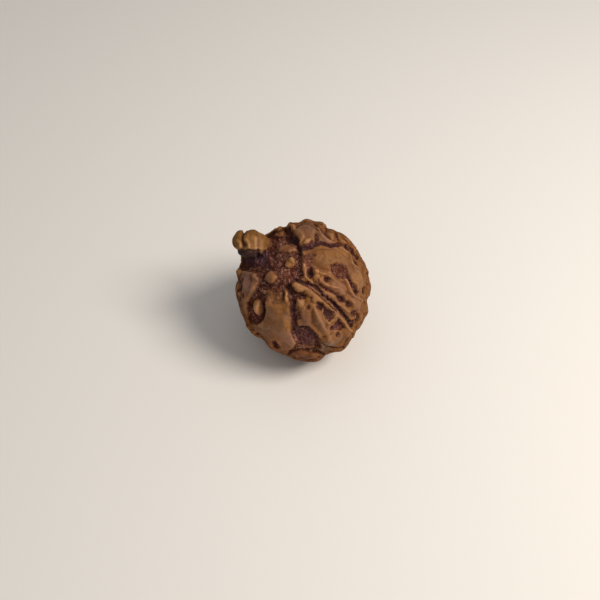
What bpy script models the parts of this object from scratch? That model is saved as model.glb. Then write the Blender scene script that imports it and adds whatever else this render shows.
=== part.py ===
"""A rudraksha seed with a trunk-like outgrowth: the hard stone of an Elaeocarpus fruit, grown as one piece.

The stone is a ball of five joined carpels. A seam runs from the stalk end to the far end between each two, and the skin
between the seams is a crust of smooth lobes, warts, thin ridges and fibrous pits. One stubby outgrowth stands on the
upper left. The seed rests on a small worn flat spot.

Metres, +Z up. The origin is on the surface that the seed rests on, under the middle of its bounding box.

The features are laid out on a drawing, in units of 0.165 mm, that looks at the seed from 50 degrees above its front:
u runs to the right and v runs down, and the middle of the ball is at SHEET. Each place on the drawing is carried to the
surface of the ball along the line of sight, so a pit or a ridge has its true width on the skin.
"""
import math

import bmesh
import bpy
import numpy as np

# ---- driving dimensions ----
UNIT = 0.000165  # one unit of the drawing
BODY_R = 67.5  # ball radius, units: 22.3 mm across, before its lobes
SHEET = (303.0, 291.0)  # the ball's middle on the drawing
VIEW_UP = math.radians(50.0)  # the drawing looks down by this much
VIEW_DIST = 838.0  # and from this far, units
FLAT_AT = 64.0  # the worn flat spot, below the ball's middle, units
FLAT_R = 17.0  # its radius, units: 5.6 mm across
STUB_FOOT_R = 14.0  # radius of the outgrowth's foot, units
FIBRE_RELIEF = 0.4  # share of the fibres' own relief that the solid carries
FACES = 9400  # triangles of the finished solid, about

SE, CE = math.sin(VIEW_UP), math.cos(VIEW_UP)
DOWN = np.array((0.0, -CE, -SE))


def to_world(p):
    x, y, z = p[:, 0], p[:, 1], p[:, 2]
    return np.stack((x, y * SE - z * CE, y * CE + z * SE), axis=1)


def sight(u, v, r):
    """Direction of the point of a ball of radius r that lies at u, v on the drawing."""
    a, b = u - SHEET[0], SHEET[1] - v
    o, k = VIEW_DIST, math.hypot(u - SHEET[0], SHEET[1] - v)
    lim = r * o / math.sqrt(o * o - r * r) * 0.9995
    over = max(0.0, k - lim)
    if k > lim:
        a, b = a * lim / k, b * lim / k
    dd = a * a + b * b + o * o
    t = (o * o - math.sqrt(max(0.0, o ** 4 - dd * (o * o - r * r)))) / dd
    p = np.array((a * t, b * t, o - o * t))
    return p / np.linalg.norm(p), over


LEVEL = []  # the skin's evened radius over the sheet, once it is known
STEP, SPAN = 2.0, 59


def level_at(p):
    """Radius of the skin at a place on the sheet."""
    if not LEVEL:
        return BODY_R
    x = min(max(p[0] / STEP + SPAN, 0.0), 2 * SPAN - 0.001)
    y = min(max(p[1] / STEP + SPAN, 0.0), 2 * SPAN - 0.001)
    i, j = int(x), int(y)
    f, g = x - i, y - j
    a = LEVEL[0]
    return (a[j, i] * (1 - f) + a[j, i + 1] * f) * (1 - g) + (a[j + 1, i] * (1 - f) + a[j + 1, i + 1] * f) * g


def direction(u, v):
    d, over = sight(u, v, BODY_R)
    for turn in range(5 if LEVEL else 0):
        d, over = sight(u, v, level_at(flat(d[None])[0][0]))
    return d, over


def flat(d):
    """Unrolls directions on a sheet: distance from the view axis is arc length."""
    s = np.hypot(d[:, 0], d[:, 1])
    th = np.arctan2(s, d[:, 2])
    k = BODY_R * th / np.maximum(s, 1e-9)
    return np.stack((d[:, 0] * k, d[:, 1] * k), axis=1), th


def sheet(points):
    out = []
    for u, v in points:
        d, over = direction(u - 0.7, v + 0.1)
        p, th = flat(d[None])
        k = np.linalg.norm(p[0])
        out.append(p[0] * (1.0 + over / max(k, 1e-6)))
    return np.array(out)


def hash3(i, j, k, seed):
    h = (i * 374761393 + j * 668265263 + k * 2147483647 + seed * 974634777) & 0xFFFFFFFF
    h = ((h ^ (h >> 13)) * 1274126177) & 0xFFFFFFFF
    h = ((h ^ (h >> 16)) * 2246822519) & 0xFFFFFFFF
    return h ^ (h >> 15)


def noise(p, seed=0):
    """Gradient noise, about -1..1."""
    f = np.floor(p).astype(np.int64)
    r = p - f
    w = r * r * r * (r * (r * 6 - 15) + 10)
    out = np.zeros(len(p))
    for dx in (0, 1):
        for dy in (0, 1):
            for dz in (0, 1):
                h = hash3(f[:, 0] + dx, f[:, 1] + dy, f[:, 2] + dz, seed)
                a = (h & 1023) / 1024.0 * 2 * math.pi
                c = ((h >> 10) & 1023) / 511.5 - 1.0
                s = np.sqrt(np.maximum(0, 1 - c * c))
                g = s * np.cos(a) * (r[:, 0] - dx) + s * np.sin(a) * (r[:, 1] - dy) + c * (r[:, 2] - dz)
                out += (
                    g
                    * (w[:, 0] if dx else 1 - w[:, 0])
                    * (w[:, 1] if dy else 1 - w[:, 1])
                    * (w[:, 2] if dz else 1 - w[:, 2])
                )
    return out * 1.5


def smooth(x, lo, hi):
    t = np.clip((x - lo) / (hi - lo), 0, 1)
    return t * t * (3 - 2 * t)


def line_distance(p, pts):
    best = np.full(len(p), 1e9)
    for a, b in zip(pts[:-1], pts[1:]):
        ab = b - a
        t = np.clip(((p - a) @ ab) / max(ab @ ab, 1e-9), 0, 1)
        best = np.minimum(best, np.linalg.norm(p - a - t[:, None] * ab, axis=1))
    return best


def curve(pts, n=6):
    """Smooth curve through the points (Catmull-Rom)."""
    pts = np.asarray(pts, float)
    if len(pts) < 3:
        return pts
    q = np.vstack((2 * pts[0] - pts[1], pts, 2 * pts[-1] - pts[-2]))
    out = []
    for i in range(1, len(q) - 2):
        a, b, c, d = q[i - 1], q[i], q[i + 1], q[i + 2]
        for t in np.linspace(0, 1, n, endpoint=False):
            out.append(0.5 * (2 * b + (c - a) * t + (2 * a - 5 * b + 4 * c - d) * t * t + (3 * b - a - 3 * c + d) * t ** 3))
    out.append(pts[-1])
    return np.array(out)


def inside_distance(p, pts):
    """Signed distance to a closed outline, positive inside."""
    ring = np.vstack((pts, pts[:1]))
    d = line_distance(p, ring)
    odd = np.zeros(len(p), bool)
    for a, b in zip(ring[:-1], ring[1:]):
        hit = (a[1] > p[:, 1]) != (b[1] > p[:, 1])
        x = (b[0] - a[0]) * (p[:, 1] - a[1]) / ((b[1] - a[1]) or 1e-9) + a[0]
        odd ^= hit & (p[:, 0] < x)
    return np.where(odd, d, -d)


def oval(p, u, v, a, b, turn):
    """Radius in an oval's own measure, 1 on its edge. The oval is true on the surface, turn clockwise on the drawing."""
    c = sheet([(u, v)])[0]
    t = -math.radians(turn)
    q = p - c
    x = q[:, 0] * math.cos(t) + q[:, 1] * math.sin(t)
    y = -q[:, 0] * math.sin(t) + q[:, 1] * math.cos(t)
    return np.sqrt((x / a) ** 2 + (y / b) ** 2)


# ---- the drawing -------------------------------------------------------------------------------------------------
HOLLOW = [  # outline, depth, softness
    (
        [(238, 265), (240, 257), (246, 249), (254, 241), (262, 235), (269, 231), (275, 230), (281, 233), (288, 234),
         (294, 235.4), (300, 242),
         (303, 250), (301.5, 262), (303, 270), (306, 276), (301, 280), (293, 283), (292, 292), (284, 289), (275, 288.5),
         (268, 291), (267.4, 298), (267.4, 312), (264.8, 320.4), (258.4, 325), (252.2, 323.4), (248.6, 315), (248, 303), (252, 296),
         (258, 289),
         (260.5, 280), (257, 274), (250, 272.5), (245, 271), (240, 269.5)],
        4.6, 3.2,
    ),
]
BUMPS = [  # u, v, half length, half width, turn, height, squareness, tint: 1 pale wood, -1 ruddy
    (288, 248, 12.0, 5.0, 3, 4.2, 2.8, -0.8),
    (290.5, 261.5, 6.6, 6.4, 0, 3.8, 2.4, 0.1),
    (292.5, 260, 3.6, 3.8, 10, 5.0, 2.6, 0.6),
    (270.8, 277, 7.0, 7.2, 0, 4.4, 2.5, -0.1),
    (284, 276.5, 7.0, 9.0, 0, 1.3, 2.0, -0.2),
    (255.5, 276.5, 4.2, 6.2, 10, 2.0, 2.4, -0.9),
    (252.5, 286, 4.6, 8.0, 14, 2.0, 2.4, -0.6),
    (246.5, 283, 6.0, 9.0, 8, 2.6, 2.2, 0.0),
    (256.2, 308.4, 8.0, 11.0, 3, 3.8, 2.0, 0.1),
    (258.4, 307.4, 2.6, 9.0, 4, 4.8, 1.8, 0.9),
    (266, 292, 2.6, 2.6, 0, 3.2, 2.2, 0.9),
    (287.8, 297, 2.4, 5.4, 0, 3.2, 2.4, 1.0),
    (300.0, 287, 9.2, 5.4, 8, 5.0, 3.4, 1.0),
    (311, 292.5, 7.5, 4.6, 36, 2.8, 2.6, 0.6),
    (317.5, 298.5, 6.6, 5.4, 38, 2.8, 3.0, 0.6),
    (301.0, 302.8, 4.8, 4.2, 4, 4.0, 2.5, 0.8),
    (302.6, 308.4, 3.6, 6.6, -12, 3.2, 2.2, 0.7),
    (306.4, 315.5, 7.2, 12.0, -10, 1.9, 2.0, 0.1),
    (309.6, 242, 6.2, 3.4, 0, 3.4, 3.4, 0.9),
    (301.0, 240, 3.4, 3.6, 0, 2.4, 2.4, 0.5),
    (316.4, 271.6, 3.8, 2.6, 20, 3.6, 2.4, 0.9),
    (317.2, 277.5, 8.6, 3.8, 72, 2.6, 2.4, 0.1),
    (327.7, 278.6, 1.3, 1.1, 0, 1.4, 2.2, 0.4),
    (304.8, 265, 2.2, 2.8, -10, 2.4, 2.4, 0.9),
    (269, 302, 5.0, 5.6, 0, 1.3, 2.4, 0.5),
    (275, 311, 8.5, 9.5, 0, 1.6, 2.2, 0.2),
    (285.5, 328, 5.4, 20.0, 0, 2.3, 2.2, 0.1),
    (292.5, 340.5, 6.8, 8.0, 25, 2.2, 2.4, 0.2),
    (264, 326, 9.5, 6.5, -20, 1.8, 2.4, 0.0),
    (308, 230, 13.5, 13.0, 10, 3.0, 2.6, 0.0),
    (292, 228, 6.0, 7.0, 0, 2.4, 2.4, -0.5),
    (280, 231, 7.0, 6.5, -20, 2.8, 2.4, 0.0),
    (324.6, 226, 3.6, 5.0, 20, 2.4, 2.4, -0.4),
    (331.8, 235.4, 5.4, 4.6, 40, 2.2, 2.4, 0.0),
    (347.5, 240, 6.5, 4.0, 48, 2.2, 2.4, 0.1),
    (354.5, 249, 7.0, 3.6, 58, 2.0, 2.4, -0.4),
    (332.5, 258, 21.0, 12.0, 6, 3.0, 3.2, 0.0),
    (360, 279, 10.0, 15.0, 0, 2.6, 2.6, 0.0),
    (341, 288.5, 11.0, 8.0, 40, 2.8, 2.4, 0.1),
    (359, 304, 9.0, 9.0, 0, 2.2, 2.6, 0.0),
    (334, 342, 15.0, 8.5, -18, 2.8, 2.6, 0.0),
    (348, 335, 7.0, 7.0, 0, 1.8, 2.4, 0.0),
    (320, 321, 5.2, 14.0, -28, 2.0, 2.2, 0.0),
    (362, 318, 7.0, 10.0, 20, 2.0, 2.4, 0.0),
    (307.5, 356.6, 18.0, 8.0, 0, 1.6, 2.4, -0.9),
    (239, 273, 5.0, 6.4, 0, 3.4, 2.4, -0.1),
    (239, 290, 5.0, 10.0, 0, 3.4, 2.4, -0.2),
    (242, 311, 5.0, 8.0, 10, 1.6, 2.4, 0.0),
]
GROOVES = [  # points, half width, depth, shoulder share
    ([(295, 279), (301, 282), (309, 283.5), (316, 287), (321, 291.7), (328, 297.7), (334, 303.5), (340, 309.7),
      (345.5, 316), (349, 321), (352, 327)], 1.5, 4.6, 0.22),
    ([(304, 284.5), (311, 288.5), (318, 294), (325, 300.3), (331, 306), (337, 311)], 0.9, 2.4, 0.1),
    ([(299, 248), (304, 248.6), (309, 247.6), (314, 245), (320, 243.2), (326, 244.6), (332, 246.4), (340, 246),
      (345.5, 247.6), (350.5, 252), (357, 258)], 1.9, 4.6, 0.3),
    ([(345, 270), (348.5, 276.5), (351.5, 282), (354, 288), (358, 293)], 1.2, 3.4, 0.25),
    ([(350.5, 254), (353, 259.5), (356, 265), (359, 270)], 1.2, 2.0, 0.25),
    ([(316.4, 223.6), (319, 227.4), (323.5, 231.8), (327.4, 235.6), (331.3, 239.9), (335.2, 242.2), (339, 243)], 1.0, 3.6,
     0.2),
    ([(335.6, 232.4), (337.5, 237.2), (339.4, 240.8), (343, 245.2), (346, 248.4)], 1.0, 3.0, 0.2),
    ([(343.5, 239.4), (347.6, 244.4), (350.2, 247.8), (351.6, 251.6), (352.6, 255)], 1.3, 3.4, 0.25),
    ([(327.4, 229.6), (326, 233)], 1.0, 1.8, 0.3),
    ([(266, 300), (266.2, 311), (262.6, 320.6), (255.4, 322.4), (251, 316.4)], 1.7, 2.0, 0.3),
    ([(243.5, 279), (242.6, 286), (240, 296), (240.5, 303)], 1.2, 2.6, 0.2),
    ([(292.6, 290), (293.4, 300), (293.6, 309), (295.4, 320), (297.5, 328)], 2.7, 3.6, 0.2),
    ([(286.6, 355), (293, 351.4), (301, 349), (311, 351), (320.5, 352.5), (327, 353.4)], 1.7, 2.8, 0.3),
    ([(252, 330), (256.5, 333.6), (259.6, 333), (262.6, 335.6), (265.6, 339.6), (268.4, 343.4)], 1.4, 4.6, 0.2),
    ([(312.6, 307), (312.5, 315), (314, 323), (318, 331)], 2.2, 1.2, 0.3),
    ([(318, 302.5), (325, 307.5), (333, 312.5)], 1.3, 2.6, 0.2),
    ([(317, 281), (321, 285.5), (328, 289), (335, 293), (339, 297)], 1.6, 2.2, 0.3),
    ([(319.4, 284), (322.5, 286.6), (326, 289)], 1.3, 2.6, 0.2),
    ([(337, 283), (346, 290), (354, 296), (362, 301)], 1.2, 1.0, 0.3),
    ([(300, 252), (302, 260), (301, 268)], 1.8, 2.0, 0.3),
    ([(276, 287), (283, 291), (285.5, 299)], 1.4, 1.6, 0.3),
    ([(297, 325), (292, 333), (299, 346)], 1.2, 1.0, 0.3),
    ([(321, 340), (328, 346), (335, 348), (344, 347)], 1.3, 1.8, 0.3),
    ([(353, 331), (349, 338), (345, 345)], 1.4, 1.8, 0.3),
]
RIDGES = [  # points, half width, height
    ([(304.5, 275.5), (308.5, 279.5), (313, 283.5), (316.5, 286.5)], 0.9, 1.5),
    ([(315, 271), (321, 272.8), (326, 274.2), (332, 277.6), (339, 283.4)], 1.4, 2.0),
    ([(320.5, 279), (324, 283), (330, 285.5), (337, 287.6)], 1.3, 1.6),
    ([(313.6, 306), (317.4, 315), (322.6, 325), (328, 334), (331, 342)], 2.7, 2.0),
    ([(329, 323), (333.5, 318), (338, 315), (342, 318.5), (346, 325), (352, 331)], 1.2, 2.2),
    ([(319.2, 228), (321.4, 233), (325, 238), (330, 241.2), (335.5, 244)], 1.8, 2.2),
    ([(336.9, 233.6), (339.5, 237.4), (342.2, 241.3), (345.3, 245.2), (347.2, 248)], 1.3, 2.4),
    ([(340, 247.8), (345, 250.2), (349.6, 254.6), (351.6, 260), (355.4, 266.6)], 1.1, 2.0),
    ([(344.6, 279), (348.6, 284), (350.6, 290.5), (356, 296), (363, 301.5)], 1.2, 2.2),
    ([(252, 331.5), (257, 334.5)], 1.0, 1.2),
    ([(336.6, 253.5), (337.8, 257), (338.2, 261)], 1.4, 0.9),
    ([(325.6, 252), (327.2, 257), (327.4, 262)], 1.8, 1.0),
    ([(320, 291), (327, 296), (334, 301.5), (342, 306), (349, 312)], 1.1, 1.3),
    ([(330, 346), (337, 345.6), (346, 343)], 1.1, 1.0),
    ([(266, 259), (270, 261), (273, 266), (277, 270)], 0.8, 1.2),
    ([(287, 232.5), (294, 230.6), (300, 231.6), (304, 237)], 1.2, 1.2),
]
PITS = [  # outline, depth, softness, roughness
    ([(285, 237), (291, 234.6), (298, 237), (300.5, 243), (296, 244.6), (288.5, 242.8)], 4.0, 1.4, 0.6),
    ([(330, 265), (336, 263.4), (342, 263.6), (347, 266), (349.4, 271), (349.6, 277), (345, 279), (338.5, 278.5),
      (333.5, 274), (331, 269.5)], 2.0, 2.4, 1.5),
    ([(307.6, 268.6), (311.4, 267.2), (314.2, 270), (314.4, 275.6), (311.6, 279), (308, 277), (306.8, 272.4)], 3.4, 1.6, 1.2),
    ([(349, 279), (352, 281), (354.6, 286.6), (353.4, 289.6), (350.4, 286)], 2.4, 1.2, 1.0),
    ([(268, 287.6), (276, 286), (284, 287), (287, 291), (281, 293.4), (273, 292.6)], 1.0, 2.0, 1.2),
    ([(267, 290), (277, 289), (288, 291), (287.6, 299), (281, 304.5), (271, 305), (266.6, 299)], 0.7, 5.0, 0.62),
    ([(288.4, 290), (297, 291), (297.6, 300), (296.4, 309), (299, 321), (294, 322), (290.6, 312), (289.6, 301)], 1.6, 2.2, 1.3),
    ([(339.5, 318.6), (343, 322.4), (345, 327.6), (341.5, 330.6), (336, 329.6), (331, 331), (330.6, 327.4), (334, 324.6)],
     3.4, 2.0, 1.3),
    ([(324, 308), (328, 307.6), (333, 312), (334.5, 317.5), (330.5, 320.5), (326.6, 319), (324, 313.6)], 3.4, 1.8, 1.2),
    ([(291, 327), (297.6, 325), (309, 325.4), (314.6, 330), (319, 336), (321.4, 342), (321.4, 348), (313.6, 346), (305.6, 345),
      (297, 346.4), (289, 353), (290, 350), (296.6, 344.6), (296.4, 340), (293.4, 336), (290.8, 331.6)], 3.4, 3.4, 1.6),
    ([(292.5, 291), (298, 291.4), (303, 292.6), (307, 295.4), (305.6, 298.8), (300, 299.4), (295.6, 297.8), (292.6, 295)],
     2.8, 1.5, 1.3),
    ([(293, 306), (299, 307.6), (301.5, 313), (302.5, 318), (300, 321), (295, 321), (293, 314)], 1.2, 2.4, 0.9),
    ([(303, 255), (309, 253), (314, 256), (315, 262), (313, 268), (307, 268), (302, 262)], 0.3, 2.0, 0.45),
    ([(295, 344), (304, 344), (314, 344), (321, 347), (320, 352), (310, 351.5), (300, 351.5), (292, 353)], 0.6, 2.0, 0.5),
    ([(272.4, 340.6), (276.5, 340), (280, 344), (281.6, 347.4), (278.4, 349), (275, 346.4)], 2.8, 1.3, 1.4),
    ([(243, 256), (256, 254), (267, 257), (270, 262), (264, 269), (254, 268), (245, 267)], 2.0, 2.4, 1.2),
    ([(269, 238), (276, 236.6), (280, 240), (277, 246), (277, 254), (273, 260), (269, 253)], 1.6, 2.0, 1.2),
    ([(253, 295), (259, 290), (263, 293), (262, 298), (255, 299)], 1.6, 1.4, 1.0),
]
HOLES = [  # u, v, half length, half width, turn, depth
    (327.5, 278.5, 3.3, 2.6, 18, 3.4),
    (341.2, 298.6, 5.0, 3.1, 34, 4.0),
    (348.4, 303.6, 4.8, 3.2, 40, 3.8),
    (344.8, 300.8, 2.6, 2.0, 36, 2.2),
    (354.2, 313.4, 4.0, 3.6, 0, 2.4),
    (358.2, 315.0, 2.4, 2.6, 0, 2.0),
    (352.4, 321.6, 4.6, 3.4, -24, 4.2),
    (356.6, 318.6, 3.0, 2.6, -30, 2.8),
    (338.2, 334.4, 2.8, 2.4, 0, 3.4),
    (320.8, 306.6, 3.6, 3.0, 40, 3.8),
    (363.5, 290.0, 3.0, 4.2, 25, 3.4),
    (354.4, 288.6, 2.4, 4.4, -25, 3.2),
    (355.6, 262.0, 2.4, 4.4, -30, 3.4),
    (317.6, 238.4, 2.6, 5.0, 0, 3.2),
    (244.2, 295.2, 2.4, 3.4, 0, 3.0),
    (314.2, 255.0, 2.2, 1.8, 0, 1.6),
    (309.2, 308.0, 1.9, 2.8, 10, 2.4),
    (289.6, 287.2, 3.6, 3.4, 0, 3.0),
    (353.0, 286.0, 1.6, 3.0, -10, 2.0),
    (357.0, 326.5, 2.6, 3.6, 0, 2.6),
]
OUTLINE = [
    (264, 236), (270, 233), (275, 229), (281, 226.5), (285, 228), (287, 227), (288, 223), (290, 222), (292, 223.5),
    (299, 223), (305, 219.5), (308, 219.5), (311, 220.5), (314, 222), (320, 222), (324, 223), (326, 226), (327, 229),
    (333, 230), (336, 232), (341, 233.5), (346, 237), (350, 241), (354, 246), (357, 250), (359, 254), (362, 260),
    (365, 264), (366, 268), (368, 271), (368, 276), (369, 281), (370.5, 286), (370, 291), (369, 296), (366, 300),
    (367, 305), (368, 310), (367, 314), (364, 318), (362, 323), (359, 328), (356, 330), (355, 332), (354, 336),
    (350, 340), (348, 344), (345, 348), (341, 351), (336, 351.5), (330, 352.5), (326, 354), (322, 358), (318, 361),
    (312, 361.5), (305, 361), (298, 359.5), (292, 358), (288, 355.5), (284, 354), (279, 352), (274, 350), (270, 348),
    (267, 344), (265, 341), (262, 338), (257, 336.5), (253, 334), (250, 330), (247, 327), (246, 322), (244, 317),
    (241, 312), (240, 307), (239, 303), (237, 297), (236, 290), (236.5, 284), (239, 280), (237, 276), (236.5, 272),
    (238, 269), (240.6, 265), (241.6, 260), (241, 256.6), (243, 252.6),
]
STALK = direction(285, 270)[0]


def sphere_points(n, seed):
    """Evenly spread directions, jittered."""
    rng = np.random.RandomState(seed)
    i = np.arange(n) + 0.5
    z = 1 - 2 * i / n
    a = i * math.pi * (3 - math.sqrt(5))
    s = np.sqrt(1 - z * z)
    p = np.stack((s * np.cos(a), s * np.sin(a), z), axis=1)
    p += rng.normal(0, 0.9 / math.sqrt(n), p.shape)
    return p / np.linalg.norm(p, axis=1)[:, None], rng


def seams():
    """Five lines that run from the stalk end to the far end."""
    e1 = np.cross(STALK, (0.0, 0.0, 1.0))
    e1 /= np.linalg.norm(e1)
    e2 = np.cross(STALK, e1)
    out = []
    for heading in (45, -27, 108, 186, 258):
        a = math.radians(heading)
        target = np.array((math.cos(a), -math.sin(a), 0.0))
        t = target - STALK * (target @ STALK)
        t /= np.linalg.norm(t)
        s = np.linspace(0.2, math.pi - 0.12, 60)
        out.append((STALK[None] * np.cos(s)[:, None] + t[None] * np.sin(s)[:, None], t))
    return out


def strands(q):
    """Loose woody fibres: thin crests, drawn out along three headings and bent by a slow swirl. 0 to 1."""
    bend = np.stack([noise(q / 12.0, 41 + i) for i in range(3)], axis=1) * 5.0
    out = np.zeros(len(q))
    for i, (x, y, z) in enumerate(((1.0, 0.3, 0.1), (-0.4, 1.0, 0.3), (0.5, -0.7, 0.8))):
        a = np.array((x, y, z)) / math.sqrt(x * x + y * y + z * z)
        w = q + bend * (1 if i != 1 else -1)
        along = (w @ a)[:, None] * a
        n = noise((w - along) / 2.1 + along / 9.0, 44 + i)
        out = np.maximum(out, (1 - np.minimum(np.abs(n) * 2.2, 1)) ** 2 * (0.65 + 0.35 * noise(q / 5.0, 47 + i)))
    return out


def relief(d):
    """Height over the smooth body, and what the surface is made of there."""
    p, th = flat(d)
    n = len(d)
    q = d * BODY_R
    ps = p + 0.9 * np.stack((noise(q / 9.0, 11), noise(q / 9.0, 12)), axis=1)
    ps = ps + 0.55 * np.stack((noise(q / 4.4, 51), noise(q / 4.4, 52)), axis=1)
    vary = 1 + 0.55 * noise(q / 5.5, 53)
    # pits and cuts have ragged edges
    pr = ps + 0.75 * np.stack((noise(q / 3.6, 13), noise(q / 3.6, 14)), axis=1)
    pr = pr + 0.4 * np.stack((noise(q / 1.9, 15), noise(q / 1.9, 16)), axis=1)
    pn = ps + 0.9 * np.stack((noise(q / 5.0, 17), noise(q / 5.0, 18)), axis=1)
    pn = pn + 0.35 * np.stack((noise(q / 2.4, 19), noise(q / 2.4, 20)), axis=1)
    front = smooth(-th, -math.radians(97), -math.radians(84))
    h = np.zeros(n)
    low = np.zeros(n)
    rough = np.zeros(n)
    for pts, depth, soft in HOLLOW:
        s = inside_distance(ps, sheet(pts))
        m = smooth(s, -soft * 0.4, soft)
        h -= depth * m
        low = np.maximum(low, m)
    bumps = np.zeros(n)
    tint = np.zeros(n)
    skin = np.zeros(n)
    for u, v, a, b, turn, height, square, hue in BUMPS:
        big = min(a, b) > 7.4
        soft = height < 2.35 and min(a, b) > 3.0
        r = oval(ps if big or soft else pn, u, v, a, b, turn)
        r = r / 1.14 if soft else r
        m = np.maximum(0, 1 - r ** square)
        if soft:
            m = m ** 1.6
        elif square > 2.3:
            m = m ** (0.8 if big else 0.6)
        height = height * (1.3 if big else 1.0)
        bumps = np.maximum(bumps, height * m) + 0.35 * np.minimum(bumps, height * m)
        own = smooth(-r, -1.06, -0.8)
        tint = tint * (1 - own) + hue * own
        skin = np.maximum(skin, own * smooth(height, 1.5, 3.5))
    h += bumps
    for pts, w, height in RIDGES:
        s = line_distance(ps, curve(sheet(pts)))
        h += height * vary * np.exp(-((s / w) ** 2))
        tint = np.maximum(tint, 0.45 * np.exp(-((s / (w * 0.8)) ** 2)) * (height > 1.0))
    cut = np.zeros(n)
    for pts, w, depth, share in GROOVES:
        s = line_distance(pr, curve(sheet(pts)))
        s = s / (0.75 + 0.35 * vary)
        g = depth * ((1 - share) * np.exp(-((s / w) ** 2)) + share * np.exp(-((s / (3 * w)) ** 2)))
        cut = np.maximum(cut, g) + 0.25 * np.minimum(cut, g)
        rough = np.maximum(rough, 0.9 * smooth(g, 0.8, 2.6))
    for pts, depth, soft, r in PITS:
        s = inside_distance(pr, sheet(pts))
        m = smooth(s, -soft * 0.6, soft)
        lip = 0.3 * np.exp(-(((s + 1.8) / 1.4) ** 2))
        cut = np.maximum(cut, depth * m)
        h += lip
        rough = np.maximum(rough, r * smooth(s, -0.5, 2.0))
        skin = skin * (1 - m)
    for u, v, a, b, turn, depth in HOLES:
        r = oval(pr, u, v, a, b, turn)
        m = np.exp(-(r ** 2.6) * 0.9)
        lip = 0.3 * np.exp(-(((r - 1.5) * min(a, b) / 1.3) ** 2))
        cut = np.maximum(cut, depth * m)
        h += lip
        rough = np.maximum(rough, 0.9 * m)
        skin = skin * (1 - m)
    # creases run on round the sides
    band = smooth(th, math.radians(56), math.radians(76))
    w = q / 12.0 + 0.35 * np.stack([noise(q / 6.0, 71 + i) for i in range(3)], axis=1)
    crease = 3.0 * band * (1 - smooth(np.abs(noise(w, 74)), 0.0, 0.13)) * smooth(noise(q / 16.0, 75), -0.45, -0.05)
    cut = np.maximum(cut, crease)
    rough = np.maximum(rough, 0.8 * smooth(crease, 1.0, 2.6))
    h += 1.1 * band * noise(q / 7.0, 76)
    h -= cut
    h *= front
    rough *= front
    low *= front * (1 - skin)
    cut *= front
    tint *= front

    # the far side: lobes of the same kind, pits and the seams
    pts, rng = sphere_points(250, 5)
    size = rng.uniform(5.0, 10.5, len(pts))
    tall = rng.uniform(3.0, 5.2, len(pts))
    stretch = rng.uniform(1.0, 1.9, len(pts))
    head = rng.uniform(0, math.pi, len(pts))
    _, tp = flat(pts)
    back = np.full(n, 0.0)
    far = np.where(front < 0.999)[0]
    df = d[far]
    qf = df * BODY_R
    wf = np.stack([noise(qf / 8.0, 21 + i) for i in range(3)], axis=1) * 1.5
    dq = qf + wf
    best = np.zeros(len(far))
    for c, sz, hh, st, hd, t in zip(pts, size, tall, stretch, head, tp):
        if t < math.radians(84):
            continue
        e = np.cross(c, (0.3, 0.5, 0.8))
        e /= np.linalg.norm(e)
        f = np.cross(c, e)
        e, f = e * math.cos(hd) + f * math.sin(hd), f * math.cos(hd) - e * math.sin(hd)
        o = dq - c * BODY_R
        r = np.sqrt((o @ e / (sz * st)) ** 2 + (o @ f / sz) ** 2 + (o @ c / (sz * 1.3)) ** 2)
        m = hh * np.maximum(0, 1 - r ** 2.6) ** 0.6
        best = np.maximum(best, m) + 0.3 * np.minimum(best, m)
    bh = best - 4.4
    holes, rng = sphere_points(90, 9)
    _, tq = flat(holes)
    deep = np.zeros(len(far))
    for c, t in zip(holes, tq):
        w, dep, tw = rng.uniform(2.0, 3.6), rng.uniform(1.6, 3.6), rng.uniform(0, math.pi)
        if t < math.radians(90):
            continue
        e = np.cross(c, (0.3, 0.5, 0.8))
        e /= np.linalg.norm(e)
        f = np.cross(c, e)
        e, f = e * math.cos(tw) + f * math.sin(tw), f * math.cos(tw) - e * math.sin(tw)
        o = dq - c * BODY_R
        r = np.sqrt((o @ e / (w * 1.6)) ** 2 + (o @ f / w) ** 2 + (o @ c / 6) ** 2)
        deep = np.maximum(deep, dep * np.exp(-(r ** 2.4)))
    for line, t in seams():
        # distance to the seam's plane, on its own side
        nrm = np.cross(STALK, t)
        side = df @ t
        s = np.abs(dq @ nrm) + np.where(side < 0, 50.0, 0.0) + 12 * smooth(-(df @ -STALK), -1.0, -0.985)
        deep = np.maximum(deep, 4.2 * np.exp(-((s / 1.5) ** 2)))
        bh += 1.3 * np.exp(-(((s - 3.2) / 1.3) ** 2))
    bh -= deep
    h[far] = h[far] + (1 - front[far]) * bh
    cut[far] = np.maximum(cut[far], (1 - front[far]) * deep)
    lowf = (1 - front[far]) * smooth(-best, -1.6, -0.2)
    low[far] = np.maximum(low[far], lowf)
    rough[far] = np.maximum(rough[far], lowf * 0.9)

    # fine texture: gentle swells on the lobes, a mat of fibres in the hollows
    h += 0.9 * noise(q / 13.0, 3) + 0.5 * noise(q / 6.0, 4) + 0.2 * noise(q / 3.0, 5)
    h += 0.22 * (1 - 2.2 * np.abs(noise(q / 8.0 + 0.3 * noise(q / 4.0, 10)[:, None], 9))) * (1 - low)
    mat = strands(q)
    grit = np.clip(np.maximum(rough, 0.8 * low), 0, 1.3)
    h += FIBRE_RELIEF * grit * (1.7 * mat - 0.8 + 0.9 * noise(q / 2.6, 8))
    return h, low, cut, rough, tint, grit * mat


# the outgrowth: u, v on the drawing, depth toward the viewer, radius
STUB = [(264.2, 251.4, 18, 13.2), (260.6, 248.6, 25, 12.0), (256.4, 245.2, 30, 12.6), (250.4, 242.9, 31.5, 13.0),
        (246.6, 242.0, 31, 12.2), (242.6, 240.2, 29.5, 10.4)]


def place(u, v, z):
    k = (VIEW_DIST - z) / VIEW_DIST
    return np.array(((u - SHEET[0]) * k, (SHEET[1] - v) * k, z))


def stub_axis():
    pts = np.array([place(u, v, z) for u, v, z, r in STUB])
    rad = np.array([r for u, v, z, r in STUB])
    fine = curve(np.hstack((pts, rad[:, None])), 12)
    return fine[:, :3], fine[:, 3]


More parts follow.
